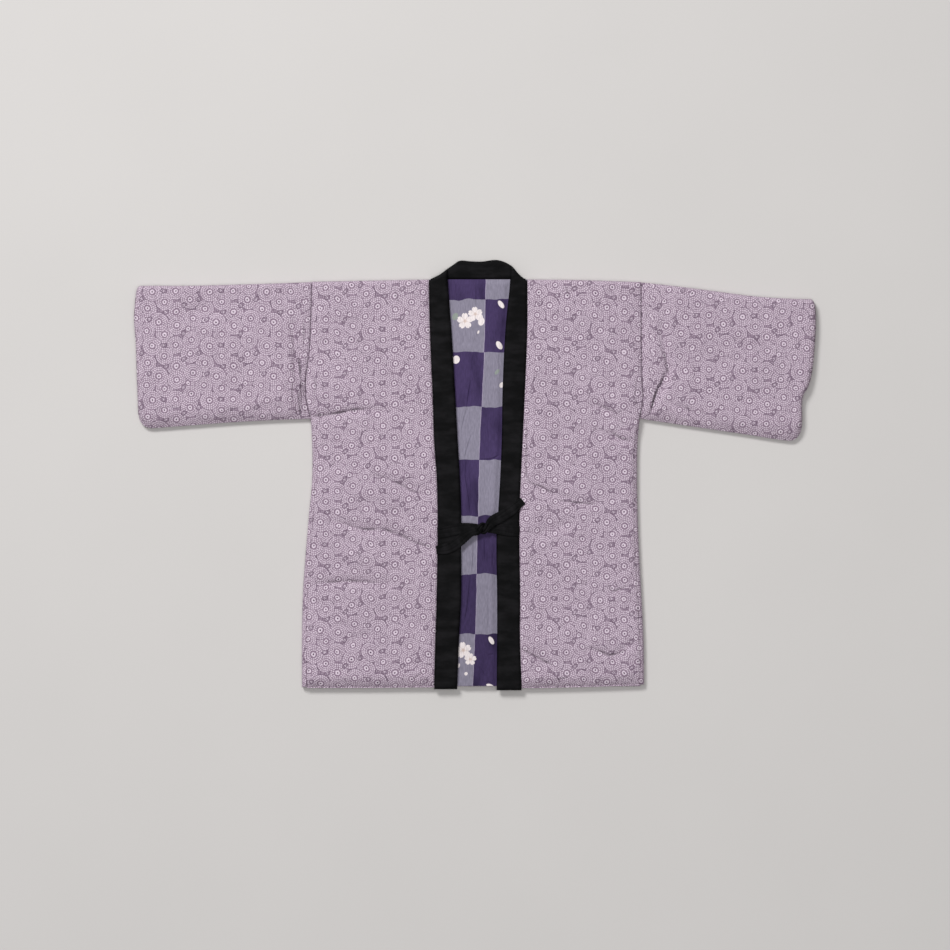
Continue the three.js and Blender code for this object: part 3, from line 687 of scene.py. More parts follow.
body = {
    "wall": 0.009, "frontFloor": 0.0093, "loft": 0.0116, "liningTop": 0.0105, "rim": 0.001,
    "footInset": 0.004, "backHem": -0.397, "underarm": 0.103, "step": 0.003, "fine": 0.00165,
    "foldDepth": 1.7, "creaseDepth": 1.9, "softFrom": 0.012, "seamSink": 0.0016, "sideSink": 0.0003,
    "sinkReach": 0.003, "hemLift": 0.0022, "shoulderDip": 0.00028, "leastFront": 0.0008,
}
# The left armhole is drawn in between these heights.
drawnIn = {"depth": 0.0022, "reach": 0.006, "from": (0.100, 0.120), "to": (0.170, 0.215)}
# Each held edge of a front: how far the wadding is drawn down from it, and the share of the loft that
# is left at the edge.
heldEdges = {"side": (0.024, 0.56), "collar": (0.020, 0.60), "hem": (0.023, 0.06), "shoulder": (0.008, 0.1)}
frontRipples = [
    ("collar", 0.00045, 0.002, 0.0105, 0.008, 0, (0, 0.004)),
    ("side", 0.00055, 0.003, 0.013, 0.010, 2, (0, 0.004)),
    ("hem", 0.0011, 0.003, 0.021, 0.010, 4, (0, 0.004)),
    ("hem", 0.0006, 0.003, 0.009, 0.006, 6, (0, 0.004)),
]
frontFolds = [
    (0.0026, 0.008, [(-0.306, 0.107), (-0.250, 0.116), (-0.205, 0.123), (-0.155, 0.116)]),
    (0.0018, 0.009, [(-0.196, 0.006), (-0.140, -0.018), (-0.078, -0.038)]),
    (-0.0014, 0.016, [(-0.230, -0.022), (-0.120, -0.062)]),
    (0.0028, 0.009, [(-0.274, -0.080), (-0.206, -0.102), (-0.152, -0.105), (-0.076, -0.148)]),
    (-0.0015, 0.018, [(-0.262, -0.146), (-0.120, -0.168)]),
    (0.0022, 0.009, [(-0.308, -0.205), (-0.240, -0.200), (-0.155, -0.204)]),
    (0.0012, 0.011, [(-0.250, -0.316), (-0.190, -0.300)]),
    (0.0018, 0.008, [(0.210, 0.142), (0.286, 0.102)]),
    (0.0022, 0.008, [(0.222, 0.086), (0.262, 0.070), (0.304, 0.058)]),
    (0.0014, 0.005, [(0.0975, 0.130), (0.0968, 0.060), (0.0962, 0.000), (0.104, -0.0155)]),
    (0.0022, 0.009, [(0.098, -0.012), (0.145, -0.036), (0.190, -0.051), (0.236, -0.056)]),
    (0.0017, 0.011, [(0.094, -0.118), (0.192, -0.086)]),
    (0.0016, 0.030, [(0.132, -0.060), (0.262, -0.232)]),
    (0.0020, 0.008, [(0.086, -0.325), (0.119, -0.343), (0.150, -0.361)]),
    (0.0022, 0.009, [(0.205, -0.328), (0.262, -0.338), (0.308, -0.306)]),
]
# Narrow creases at the bottom of the folds, and short ones by the seams.
frontCreases = [
    (0.0018, 0.0022, [(-0.305, 0.110), (-0.275, 0.1134), (-0.250, 0.118), (-0.222, 0.1235), (-0.198, 0.123)]),
    (0.0011, 0.0024, [(-0.190, 0.002), (-0.150, -0.012), (-0.118, -0.030), (-0.078, -0.038)]),
    (0.0014, 0.0024, [(-0.266, -0.084), (-0.208, -0.102), (-0.170, -0.102),
                      (-0.142, -0.111), (-0.111, -0.1275), (-0.078, -0.137)]),
    (0.0010, 0.0026, [(-0.300, -0.203), (-0.236, -0.199), (-0.165, -0.203)]),
    (0.0012, 0.0020, [(0.222, 0.136), (0.262, 0.118), (0.280, 0.103)]),
    (0.0013, 0.0020, [(0.252, 0.083), (0.272, 0.070), (0.300, 0.060)]),
    (0.0009, 0.0018, [(0.257, 0.112), (0.284, 0.094)]),
    (0.0014, 0.0018, [(0.0975, 0.112), (0.0966, 0.060), (0.0962, 0.000), (0.104, -0.0155)]),
    (0.0017, 0.0019, [(0.100, -0.014), (0.126, -0.022), (0.147, -0.036)]),
    (0.0015, 0.0018, [(0.154, -0.047), (0.190, -0.0515), (0.226, -0.055)]),
    (0.0011, 0.0020, [(0.244, -0.200), (0.259, -0.219), (0.297, -0.204)]),
    (0.0015, 0.0020, [(0.086, -0.326), (0.119, -0.343), (0.148, -0.359)]),
    (0.0014, 0.0022, [(0.216, -0.322), (0.251, -0.338), (0.267, -0.3356), (0.286, -0.328)]),
    (0.0010, 0.0018, [(-0.304, 0.196), (-0.298, 0.168), (-0.303, 0.132)]),
    (0.0010, 0.0016, [(-0.298, 0.128), (-0.290, 0.112), (-0.293, 0.092)]),
    (0.0009, 0.0016, [(0.304, 0.178), (0.300, 0.148), (0.306, 0.124)]),
    (0.0009, 0.0018, [(-0.120, -0.386), (-0.100, -0.372), (-0.083, -0.366)]),
    (0.0008, 0.0018, [(0.140, -0.388), (0.176, -0.379)]),
    (0.0007, 0.0018, [(-0.150, 0.352), (-0.143, 0.318)]),
    (0.0007, 0.0018, [(0.170, 0.356), (0.178, 0.330)]),
]


def makeFront(side):
    out = outwards[side]
    seam = reader(sideSeam, "y", side)
    band = reader(collarLine, "y", side + "Outer")
    outer = lambda y: seam(y) - out * gussetGap
    inner = lambda y: band(y) + out * seamGap
    edges = (outer, inner) if side == "left" else (inner, outer)
    rows = hemAt(0) + spread(float(shoulderAt(0) - hemAt(0)), body["fine"])
    x, y = planGrid(shares(0.230, body["fine"]), rows, *edges, hemAt, shoulderAt)
    fromSide, fromBand = np.abs(x - outer(y)), np.abs(x - inner(y))
    fromHem, fromShoulder = y - hemAt(x), shoulderAt(x) - y
    beside = {"side": (y, fromSide), "collar": (y, fromBand),
              "hem": (x, fromHem), "shoulder": (x, fromShoulder)}
    held = heldBetween(beside, heldEdges, rolled="hem")
    soft = smooth(nearestOf(beside), 0, body["softFrom"])
    seed = 11 if side == "left" else 23
    z = body["frontFloor"] + body["loft"] * held - held**2 * body["foldDepth"] * pressed(frontFolds, x, y)
    creased = pressed(frontCreases, x, y, lips=0.8) * uneven(x, y, seed + 8)
    z = z - held * body["creaseDepth"] * creased
    z = z + soft * (0.0007 * swell(x, y, 0.085, seed) + 0.0004 * swell(x, y * 1.4, 0.034, seed + 1))
    z = rippled(z, beside, frontRipples, seed)
    z = z - body["seamSink"] * edgeDrop(fromBand, body["sinkReach"])
    sideSink = lerp(body["sideSink"], body["seamSink"], smooth(y, 0.095, 0.115))
    z = z - sideSink * edgeDrop(fromSide, body["sinkReach"])
    drawn = smooth(y, *drawnIn["from"]) * (1 - smooth(y, *drawnIn["to"])) if side == "left" else 0
    z = z - drawnIn["depth"] * drawn * edgeDrop(fromSide, drawnIn["reach"])
    under = body["frontFloor"] + body["hemLift"] * edgeDrop(fromHem, body["sinkReach"])
    under = under - body["shoulderDip"] * (1 - smooth(fromShoulder, 0, 0.0015))
    top = stack(x, y, np.maximum(z, under + body["leastFront"]))
    return wallPiece("front" + side.capitalize(), top, stack(x, y, under), shadeOf(creased), plainUnder=True)


fronts = dressBoth(makeFront, printed, "print", "front_")
print("fronts made")


# The back lies flat on the floor. Its upper edge turns up to the shoulder fold, and its hem is rounded.
def makeBack():
    high = lambda x: shoulderAt(x) - seamGap
    left = lambda y: read(sideSeam, "y", "left", y) + seamGap
    right = lambda y: read(sideSeam, "y", "right", y) - seamGap
    low = lambda x: body["backHem"] + 0 * x
    rows = body["backHem"] + spread(float(high(0) - body["backHem"]), 0.009)
    x, y = planGrid(shares(0.620, 0.009), rows, left, right, low, high)
    fromHem, fromTop = y - low(x), high(x) - y
    top = body["wall"] * nearEdge(fromHem, 0.005, 0.58) + 0 * x
    under = (body["wall"] - body["rim"]) * edgeDrop(fromTop, body["footInset"])
    under = under + 0.0026 * edgeDrop(fromHem, 0.003)
    return wallPiece("backPanel", stack(x, y, top), stack(x, y, under))


back = dress(makeBack(), printed, "print", "back")

knot = {"x": 0.0150, "y": -0.1000, "z": 0.020, "length": 0.022, "aside": 0.0062, "rise": 0.0037, "slope": 4}

puffed = {"width": 0.165, "length": 0.7633, "high": 0.3673, "from": (0.001, 0.011), "rise": 0.0024,
          "least": -0.0003, "most": 0.0045, "knotShare": 0.7, "knotReach": 0.022}
# Troughs of the puffed lining, from the neck down
liningFolds = [
    (0.0016, 0.0018, [(-0.0352, 0.366), (-0.0345, 0.342)]),
    (0.0018, 0.0017, [(0.0030, 0.355), (0.0028, 0.334), (0.0032, 0.312)]),
    (0.0008, 0.0035, [(-0.0200, 0.262), (-0.0215, 0.244)]),
    (0.0012, 0.0020, [(0.0458, 0.232), (0.0460, 0.197)]),
    (0.0024, 0.0019, [(-0.0076, 0.178), (-0.0112, 0.152), (-0.0148, 0.127)]),
    (0.0014, 0.0024, [(-0.0125, 0.130), (-0.0205, 0.104), (-0.0268, 0.074), (-0.0312, 0.050)]),
    (0.0016, 0.0019, [(-0.0060, 0.077), (-0.0135, 0.052), (-0.0194, 0.029)]),
    (0.0025, 0.0021, [(-0.0160, 0.028), (-0.0173, -0.002), (-0.0151, -0.015),
                      (-0.0113, -0.038), (-0.0068, -0.082)]),
    (0.0013, 0.0020, [(-0.0098, 0.012), (-0.0060, -0.034)]),
    (0.0024, 0.0018, [(0.0070, 0.0292), (0.0220, 0.0284), (0.0338, 0.0303),
                      (0.0440, 0.0360), (0.0510, 0.0430)]),
    (0.0010, 0.0026, [(0.0240, 0.106), (0.0270, 0.062)]),
    (0.0018, 0.0018, [(-0.0024, -0.124), (-0.0030, -0.155), (-0.0052, -0.188)]),
    (-0.0008, 0.0016, [(0.0040, -0.122), (0.0034, -0.184)]),
    (0.0022, 0.0018, [(0.0186, -0.110), (0.0183, -0.134), (0.0192, -0.160)]),
    (0.0016, 0.0018, [(0.0338, -0.144), (0.0335, -0.172)]),
    (0.0023, 0.0024, [(-0.0084, -0.190), (-0.0108, -0.222), (-0.0136, -0.250), (-0.0218, -0.286)]),
    (0.0012, 0.0028, [(0.0242, -0.222), (0.0262, -0.262), (0.0250, -0.298)]),
    (0.0016, 0.0018, [(0.0244, -0.3375), (0.0350, -0.3375)]),
    (0.0019, 0.0022, [(0.0060, -0.360), (0.0128, -0.369), (0.0184, -0.379)]),
    (0.0014, 0.0020, [(-0.0020, -0.366), (-0.0026, -0.390)]),
    (0.0016, 0.0018, [(0.0206, -0.388), (0.0352, -0.3925)]),
]


# The lining runs flat under both sides of the band, and puffs up between them.
def makeLining():
    s = puffed
    low = lambda x: body["backHem"] + 0.001 + 0 * x
    high = lambda x: s["high"] + 0 * x
    left = lambda y: read(collarLine, "y", "leftOuter", y) + seamGap
    right = lambda y: read(collarLine, "y", "rightOuter", y) - seamGap
    # Columns are close together only where the lining shows.
    side = np.array([0, 0.0004, 0.0011, 0.0022, 0.0038, 0.006, 0.011, 0.017, 0.023, 0.029, 0.034])
    us = np.concatenate([side, np.linspace(0.036, 0.129, 94), s["width"] - side[::-1]])
    rows = low(0) + spread(s["length"], 0.0014)
    x, y = planGrid(us / s["width"], rows, left, right, low, high)
    inLeft = x - read(collarLine, "y", "leftInner", y)
    inRight = read(collarLine, "y", "rightInner", y) - x
    loose = smooth(np.minimum(inLeft, inRight), *s["from"]) * smooth(high(x) - y, 0, 0.01)
    underKnot = np.exp(-(((y - knot["y"]) / s["knotReach"]) ** 2))
    loose = loose * (1 - s["knotShare"] * underKnot)
    rise = s["rise"] + 0.0004 * swell(x * 1.6, y * 0.5, 0.040, 41) - pressed(liningFolds, x, y, lips=0.7)
    top = body["liningTop"] + loose * np.clip(rise, s["least"], s["most"])
    under = body["frontFloor"] - 0.0001 + 0 * x
    seamX = read(checkCloth["seam"], "y", "x", y)
    squares = np.stack([(x - seamX) / checkCloth["side"], read(checkCloth["rows"], "y", "count", y)], axis=-1)
    maps = {"cloth": np.stack([x, y], axis=-1), "squares": squares}
    return wallPiece("backLining", stack(x, y, top), stack(x, y, under), maps, plainUnder=True)


lining = dress(makeLining(), checked, "check", "back_lining")
print("back and lining made")


# A gusset rolls round the side, from the floor up to the front's seam.
def makeGusset(side):
    out = outwards[side]
    seam = reader(sideSeam, "y", side)
    width = reader(sideSeam, "y", side + "Gusset")
    outer = lambda y: seam(y) + out * width(y)
    inner = lambda y: seam(y) + out * gussetGap
    hem = float(hemAt(seam(-0.400))) + 0.001
    crest = body["frontFloor"] + body["loft"] * heldEdges["side"][1]
    roll = 0.42 * crest
    edges = (outer, inner) if side == "left" else (inner, outer)
    us = shares(0.009, 0.0012, near=(0, 0.0003, 0.0009, 0.0018))
    rows = hem + spread(body["underarm"] - hem, body["step"])
    x, y = planGrid(us, rows, *edges, lambda x: hem + 0 * x, lambda x: body["underarm"] + 0 * x)
    fromOut = np.abs(outer(y) - x)
    fromHem, fromArm = y - hem, body["underarm"] - y
    ends = nearEdge(fromHem, 0.010, 0.45) * nearEdge(fromArm, 0.016, 0.7)
    wave = 0.0004 * pucker(y, 0 * y, 0.017, 0.01, 31 + out) * smooth(fromOut, 0, 0.004)
    top = roll + body["rim"] / 2 + ((crest - roll) * quarterRound(fromOut, 0.009) + wave) * ends
    top = top - 0.0003 * edgeDrop(np.abs(x - inner(y)), 0.002)
    under = (roll - body["rim"] / 2) * edgeDrop(fromOut, body["footInset"])
    under = under + 0.0022 * edgeDrop(fromHem, 0.003)
    top = np.maximum(top, under + leastWall)
    return wallPiece("gusset" + side.capitalize(), stack(x, y, top), stack(x, y, under))


gussets = dressBoth(makeGusset, printed, "print", "gusset_")
print("gussets made")

# Sleeves

sleeve = {
    "length": 0.325, "depth": 0.256, "armLow": 0.106, "top": 0.0204, "slit": 0.0012, "foldHeight": 0.95,
    "fromFold": 0.009, "cuffMouth": 0.172, "cuffCorner": 0.024, "cuffShoulder": 0.007, "lip": 0.0020,
    "lipReach": 0.010, "gathered": 0.064, "foldDepth": 2.0, "creaseDepth": 3.2, "softFrom": 0.014,
    "step": 0.0032, "fine": 0.0016, "rimBulge": 0.0012, "armSink": 0.0014,
    "mapShift": {"left": (0.41, 0.13), "right": (0.27, 0.38)},
}
sleeveHeld = {"seam": (0.033, 0.02), "fold": (0.007, 0.04), "arm": (0.026, 0.6), "rim": (0.010, 0.42)}
sleeveRipples = [
    ("arm", 0.0006, 0.003, 0.012, 0.010, 2, (0, 0.004)),
    ("seam", 0.0004, 0.006, 0.014, 0.012, 3, (0.002, 0.008)),
    ("rim", 0.0004, 0.003, 0.015, 0.012, 5, (0, 0.004)),
]
sleeveFolds = {
    "left": [
        (0.0030, 0.007, [(-0.341, 0.290), (-0.336, 0.195), (-0.318, 0.112)]),
        (0.0020, 0.007, [(-0.354, 0.174), (-0.330, 0.104)]),
        (0.0014, 0.010, [(-0.424, 0.122), (-0.348, 0.128)]),
        (0.0010, 0.014, [(-0.560, 0.300), (-0.470, 0.318)]),
    ],
    "right": [
        (0.0034, 0.007, [(0.346, 0.286), (0.366, 0.198), (0.328, 0.114)]),
        (0.0016, 0.010, [(0.346, 0.142), (0.444, 0.102)]),
        (0.0010, 0.014, [(0.470, 0.250), (0.560, 0.232)]),
    ],
}
sleeveCreases = {
    "left": [
        (0.0026, 0.0022, [(-0.3320, 0.222), (-0.3280, 0.198), (-0.3262, 0.160), (-0.3252, 0.118)]),
        (0.0018, 0.0016, [(-0.3226, 0.176), (-0.3222, 0.148), (-0.3180, 0.112)]),
        (0.0022, 0.0017, [(-0.3305, 0.156), (-0.3300, 0.134), (-0.3270, 0.108)]),
        (0.0012, 0.0021, [(-0.3415, 0.176), (-0.3428, 0.148), (-0.3400, 0.116)]),
        (0.0016, 0.0018, [(-0.3370, 0.146), (-0.3365, 0.126), (-0.3350, 0.110)]),
        (0.0010, 0.0018, [(-0.3420, 0.262), (-0.3380, 0.232), (-0.3350, 0.206)]),
        (0.0007, 0.0016, [(-0.3210, 0.290), (-0.3190, 0.262), (-0.3215, 0.238)]),
        (0.0008, 0.0020, [(-0.600, 0.118), (-0.575, 0.128), (-0.552, 0.126)]),
        (0.0007, 0.0020, [(-0.480, 0.108), (-0.462, 0.122), (-0.440, 0.126)]),
    ],
    "right": [
        (0.0024, 0.0020, [(0.3550, 0.186), (0.3475, 0.170), (0.3405, 0.157),
                          (0.3345, 0.138), (0.3280, 0.112)]),
        (0.0012, 0.0022, [(0.3560, 0.228), (0.3600, 0.206), (0.3640, 0.188)]),
        (0.0010, 0.0015, [(0.3205, 0.168), (0.3215, 0.144), (0.3245, 0.122)]),
        (0.0008, 0.0016, [(0.3170, 0.320), (0.3225, 0.300), (0.3210, 0.284)]),
        (0.0008, 0.0020, [(0.372, 0.134), (0.396, 0.126), (0.420, 0.112)]),
        (0.0007, 0.0020, [(0.560, 0.086), (0.583, 0.094), (0.600, 0.090)]),
    ],
}


# The outside is one closed loop round the arm at each place along it, and so is the inside.
def makeSleeve(side):
    s, out = sleeve, outwards[side]
    ends = lambda column, x: read(sleeveEnds[side], "x", column, x)
    armhole = lambda y: read(sideSeam, "y", side, np.maximum(y, s["armLow"])) + out * seamGap
    cuff = lambda y: read(cuffEdge[side], "y", "x", y)
    outs = spread(s["length"], s["step"])
    # The columns are finer beside the armhole.
    fine = spread(2 * s["gathered"], s["fine"])[: round(s["gathered"] / s["fine"])]
    outs = np.concatenate([fine, outs[outs > s["gathered"]]]) / s["length"]
    vs = shares(s["depth"], 0.0028, near=(0, 0.0003, 0.0009, 0.0018, 0.003, 0.0045, 0.0065, 0.009))
    share, v = outs[None, :], vs[:, None]
    fromCuff = (1 - share) * s["length"]
    nominal = out * lerp(0.311, 0.630, share)
    cut = lambda radius: radius * edgeDrop(fromCuff, radius)
    lower = ends("lower", nominal) + cut(s["cuffCorner"])
    upper = ends("upper", nominal) - cut(s["cuffShoulder"])
    y = lerp(lower, upper, v)
    x = lerp(armhole(y), cuff(y), share)
    fromArm, fromRim = np.abs(x - armhole(y)), np.abs(cuff(y) - x)
    fromFold, fromSeam = (1 - v) * s["depth"], v * s["depth"]
    beside = {"seam": (x, fromSeam), "fold": (x, fromFold), "arm": (y, fromArm), "rim": (y, fromRim)}
    held = heldBetween(beside, sleeveHeld, rolled="seam")
    soft = smooth(nearestOf(beside), 0, s["softFrom"])
    middle = s["foldHeight"] * body["wall"]
    seed = 53 if side == "left" else 67
    top = middle + body["rim"] / 2 + (s["top"] - middle) * held
    top = top - held * s["foldDepth"] * pressed(sleeveFolds[side], x, y)
    creased = pressed(sleeveCreases[side], x, y, lips=0.8) * uneven(x, y, seed + 8)
    top = top - held * s["creaseDepth"] * creased
    top = top + soft * (0.0008 * swell(x, y, 0.085, seed) + 0.0004 * swell(x * 1.3, y, 0.033, seed + 1))
    top = rippled(top, beside, sleeveRipples, seed)
    top = top - s["armSink"] * edgeDrop(fromArm, body["sinkReach"])
    drawn = 1 - smooth(y, *drawnIn["to"]) if side == "left" else 0
    top = top - drawnIn["depth"] * drawn * edgeDrop(fromArm, drawnIn["reach"])
    nearFold = np.minimum(v, 1 - v) * s["depth"]
    under = (middle - body["rim"] / 2) * edgeDrop(nearFold, body["footInset"]) + 0 * x
    under = np.maximum(under, 0.0022 * edgeDrop(fromRim, 0.0035))
    inset = lerp(s["fromFold"], s["depth"] - s["fromFold"], v) / s["depth"]
    innerY = lerp(lower, upper, inset)
    innerX = lerp(armhole(innerY), cuff(innerY), share)
    mouth = ends("upper", nominal) - s["cuffMouth"]
    shut = smooth(mouth - innerY, -0.004, 0.004) * smooth(share, 0.93, 0.975)
    gap = lerp(s["slit"], 0.0001, shut)
    lip = s["lip"] * edgeDrop(np.abs(cuff(innerY) - innerX), s["lipReach"])
    half = gap / 2 + lip
    centre = body["wall"] + s["slit"] / 2
    loops = [
        np.concatenate([stack(x, y, np.maximum(top, middle + 0.0004)), stack(x, y, under)[::-1]]),
        np.concatenate([stack(innerX, innerY, centre + half), stack(innerX, innerY, centre - half)[::-1]]),
    ]
    around, along = loops[0].shape[:2]
    rounded = (loops[0][:, -1] + loops[1][:, -1]) / 2
    rounded[:, 0] += out * s["rimBulge"]
    outerIndex = np.arange(around * along).reshape(around, along)
    innerIndex = outerIndex + around * along
    ringIndex = np.arange(around) + 2 * around * along
    wrap = lambda index: np.concatenate([index, index[:1]])
    faces = [quadsOf(wrap(outerIndex)), quadsOf(wrap(innerIndex))[:, ::-1]]
    faces.append(quadsOf(wrap(np.stack([outerIndex[:, -1], ringIndex, innerIndex[:, -1]], axis=1))))
    faces.append(quadsOf(wrap(np.stack([innerIndex[:, 0], outerIndex[:, 0]], axis=1))))
    step = np.linalg.norm(np.diff(loops[0], axis=0), axis=2)
    around2 = np.concatenate([np.zeros((1, along)), np.cumsum(step, axis=0)])
    shiftX, shiftY = s["mapShift"][side]
    flat = np.stack([loops[0][:, :, 0] + shiftX, around2 + loops[0][:1, :, 1] + shiftY], axis=-1)
    cloth = np.concatenate([flat.reshape(-1, 2), flat.reshape(-1, 2), flat[:, -1]])
    points = np.concatenate([loops[0].reshape(-1, 3), loops[1].reshape(-1, 3), rounded])
    shade = np.zeros((len(points), 2))
    shade[: creased.size] = shadeOf(creased)["shade"].reshape(-1, 2)
    maps = {"cloth": cloth, "shade": shade}
    return meshPiece("sleeve" + side.capitalize(), points, np.concatenate(faces).tolist(), maps)


sleeves = dressBoth(makeSleeve, printed, "print", "sleeve_")
print("sleeves made")

# Neckband

band = {"floor": 0.0108, "wall": 0.0082, "low": {"left": -0.402, "right": -0.404}, "step": 0.003,
        "neckLeft": -0.083, "neckRight": 0.095, "sewn": 0.3676, "tieY": -0.107,
        "width": 0.043, "neckWidth": 0.034, "least": 0.0005, "dimples": (0.0003, 0.0092, 0.002),
        "near": (0, 0.0003, 0.0008, 0.0016, 0.0028, 0.0045)}
bandHeld = {"outer": (0.0055, 0.42), "inner": (0.0055, 0.25), "low": (0.0045, 0.4), "high": (0.007, 0.25)}
bandRipples = [
    ("outer", 0.00025, 0.002, 0.012, 0.006, 0, (0, 0.003)),
    ("inner", 0.00015, 0.002, 0.015, 0.006, 3, (0, 0.003)),
]
bandCreases = [
    (0.0020, 0.0018, [(-0.0800, 0.119), (-0.0706, 0.1119), (-0.0620, 0.1125), (-0.0533, 0.1160)]),
    (0.0009, 0.0020, [(-0.0740, 0.078), (-0.0600, 0.080), (-0.0460, 0.079)]),
    (0.0012, 0.0018, [(-0.0720, 0.0425), (-0.0560, 0.0420), (-0.0395, 0.0415)]),
    (0.0008, 0.0022, [(-0.072, -0.368), (-0.056, -0.371), (-0.038, -0.369)]),
    (0.0006, 0.0020, [(0.052, 0.236), (0.066, 0.232), (0.086, 0.234)]),
    (0.0007, 0.0020, [(0.050, -0.052), (0.064, -0.056), (0.078, -0.054)]),
    (0.0007, 0.0022, [(0.046, -0.166), (0.062, -0.170), (0.078, -0.167)]),
    (0.0006, 0.0020, [(-0.064, -0.176), (-0.050, -0.172), (-0.034, -0.175)]),
    (0.0006, 0.0018, [(-0.078, 0.300), (-0.066, 0.306), (-0.056, 0.305)]),
]


def makeBand(side):
    outer = reader(collarLine, "y", side + "Outer")
    inner = reader(collarLine, "y", side + "Inner")
    lowY = band["low"][side]
    low = lambda x: lowY + 0 * x
    high = lambda x: neckAt(x) - 0.0004
    edges = (outer, inner) if side == "left" else (inner, outer)
    us = shares(band["width"], 0.0022, near=band["near"])
    rows = lowY + spread(float(high(0)) - lowY, band["step"])
    x, y = planGrid(us, rows, *edges, low, high, endReach=0.070)
    fromOuter, fromInner = np.abs(x - outer(y)), np.abs(x - inner(y))
    fromLow, fromHigh = y - lowY, high(x) - y
    beside = {"outer": (y, fromOuter), "inner": (y, fromInner), "low": (x, fromLow), "high": (x, fromHigh)}
    held = heldBetween(beside, bandHeld)
    calm = smooth(np.abs(y - band["tieY"]), 0.016, 0.034)  # where the tie lies, the band is pressed flat
    seed = 71 if side == "left" else 83
    rise = 0.00022 * swell(x, y * 0.7, 0.046, seed) - pressed(bandCreases, x, y, lips=0.5)
    rise = rippled(rise, beside, bandRipples, seed)
    depth, pitch, reach = band["dimples"]
    rise = rise + depth * np.sin(2 * math.pi * y / pitch) * np.exp(-fromOuter / reach)
    top = band["floor"] + band["wall"] * held + held * np.minimum(rise, 0.0003) * calm
    under = band["floor"] + 0.0012 * edgeDrop(np.minimum(fromInner, fromLow), 0.002)
    top = np.maximum(top, under + band["least"])
    return wallPiece("band" + side.capitalize(), stack(x, y, top), stack(x, y, under))


# The band behind the neck lies on the floor, under both folded corners.
def makeNeckBand():
    height = body["liningTop"]
    contour = lambda x: np.maximum(band["sewn"] + 0.0015, neckAt(x))
    us = spread(band["neckRight"] - band["neckLeft"], 0.003)
    vs = shares(band["neckWidth"], 0.0022, near=band["near"])
    x = (band["neckLeft"] + us)[None, :] + 0 * vs[:, None]
    y = lerp(band["sewn"], contour(x), vs[:, None])
    fromSewn, fromTop = y - band["sewn"], contour(x) - y
    top = height * nearEdge(fromSewn, 0.0045, 0.62) * nearEdge(fromTop, 0.006, 0.5)
    lines = [
        (0.0007, 0.0016, [(-0.050, 0.3755), (0.000, 0.3735), (0.060, 0.3755)]),
        (0.0005, 0.0014, [(-0.046, 0.3815), (-0.010, 0.3800), (0.030, 0.3812)]),
        (0.0004, 0.0014, [(-0.020, 0.3900), (0.020, 0.3890), (0.056, 0.3905)]),
    ]
    top = top - pressed(lines, x, y, lips=0.4)
    under = 0.4 * height * edgeDrop(fromTop, body["footInset"])
    return wallPiece("bandNeck", stack(x, y, np.maximum(top, under + leastWall)), stack(x, y, under))


bands = dressBoth(makeBand, sateen, "black", "collar_")
bandNeck = dress(makeNeckBand(), sateen, "black", "collar_neck")
print("neckband made")

# Ties: each leaves the outer seam of its side of the band, winds once round the other and ends in a free tail

tie = {"width": 0.020, "wall": 0.002, "gathered": (0.009, 0.006), "rest": 0.0204, "steps": 240, "across": 33,
       "opening": 0.006, "squeezedTo": (0.009, 0.021), "endReach": 0.0012,
       "creases": [(0.60, 0.30, 0.22, 38, 0.12), (0.45, -0.35, 0.20, 51, 0.14)]}
tieRows = {  # x, y, height above the rest height, width
    "leftRoot": [(-0.0694, -0.109, -0.001, 0.020), (-0.063, -0.108, 0, 0.020), (-0.048, -0.1050, 0, 0.020),
                 (-0.030, -0.1010, 0, 0.020), (-0.014, -0.0990, -0.0005, 0.0185)],
    "leftTail": [(0.0325, -0.0868, 0.0030, 0.0195), (0.0500, -0.0768, 0.0018, 0.020),
                 (0.069, -0.0650, 0.0006, 0.019), (0.0901, -0.0480, 0.0014, 0.0140)],
    "rightRoot": [(0.083, -0.1060, -0.001, 0.020), (0.077, -0.1055, 0, 0.020), (0.062, -0.1040, 0, 0.020),
                  (0.046, -0.1020, 0, 0.0195)],
    "rightTail": [(-0.006, -0.1065, 0.0026, 0.0165), (-0.018, -0.1142, 0.0025, 0.0195),
                  (-0.033, -0.1270, 0.0014, 0.020), (-0.046, -0.1350, 0.0003, 0.020),
                  (-0.058, -0.1388, 0, 0.0195), (-0.0727, -0.1408, 0.0002, 0.0145)],
}


# Three quarters of a turn about the other tie, in low from the root and out high to the tail.
def knotTurn(startAngle, outFirst):
    steps, slope = 9, math.radians(knot["slope"])
    rows = []
    for i in range(steps + 1):
        angle = startAngle - 1.5 * math.pi * i / steps
        along, aside = (i / steps - 0.5) * knot["length"], knot["aside"] * math.cos(angle)
        x = knot["x"] + along * math.cos(slope) - aside * math.sin(slope)
        y = knot["y"] + along * math.sin(slope) + aside * math.cos(slope)
        opened = tie["opening"] * (i / steps if outFirst else 1 - i / steps) ** 3
        rows.append((x, y, knot["z"] + knot["rise"] * math.sin(angle), tie["gathered"][0] + opened))
    return rows


def atRest(rows):
    return [(x, y, tie["rest"] + lift, width) for x, y, lift, width in rows]


# A smooth line through all the rows, at even steps along it.
def followed(rows):
    rows = np.array(rows)
    knots = np.concatenate([[0], np.cumsum(np.sqrt(np.linalg.norm(np.diff(rows[:, :3], axis=0), axis=1)))])
    table = {"at": knots, **{i: rows[:, i] for i in range(4)}}
    fine = np.linspace(0, knots[-1], 4000)
    line = np.stack([read(table, "at", i, fine) for i in range(4)], axis=1)
    run = np.concatenate([[0], np.cumsum(np.linalg.norm(np.diff(line[:, :3], axis=0), axis=1))])
    even = np.linspace(0, run[-1], tie["steps"] + 1)
    return np.stack([np.interp(even, run, line[:, i]) for i in range(4)], axis=1), run[-1]


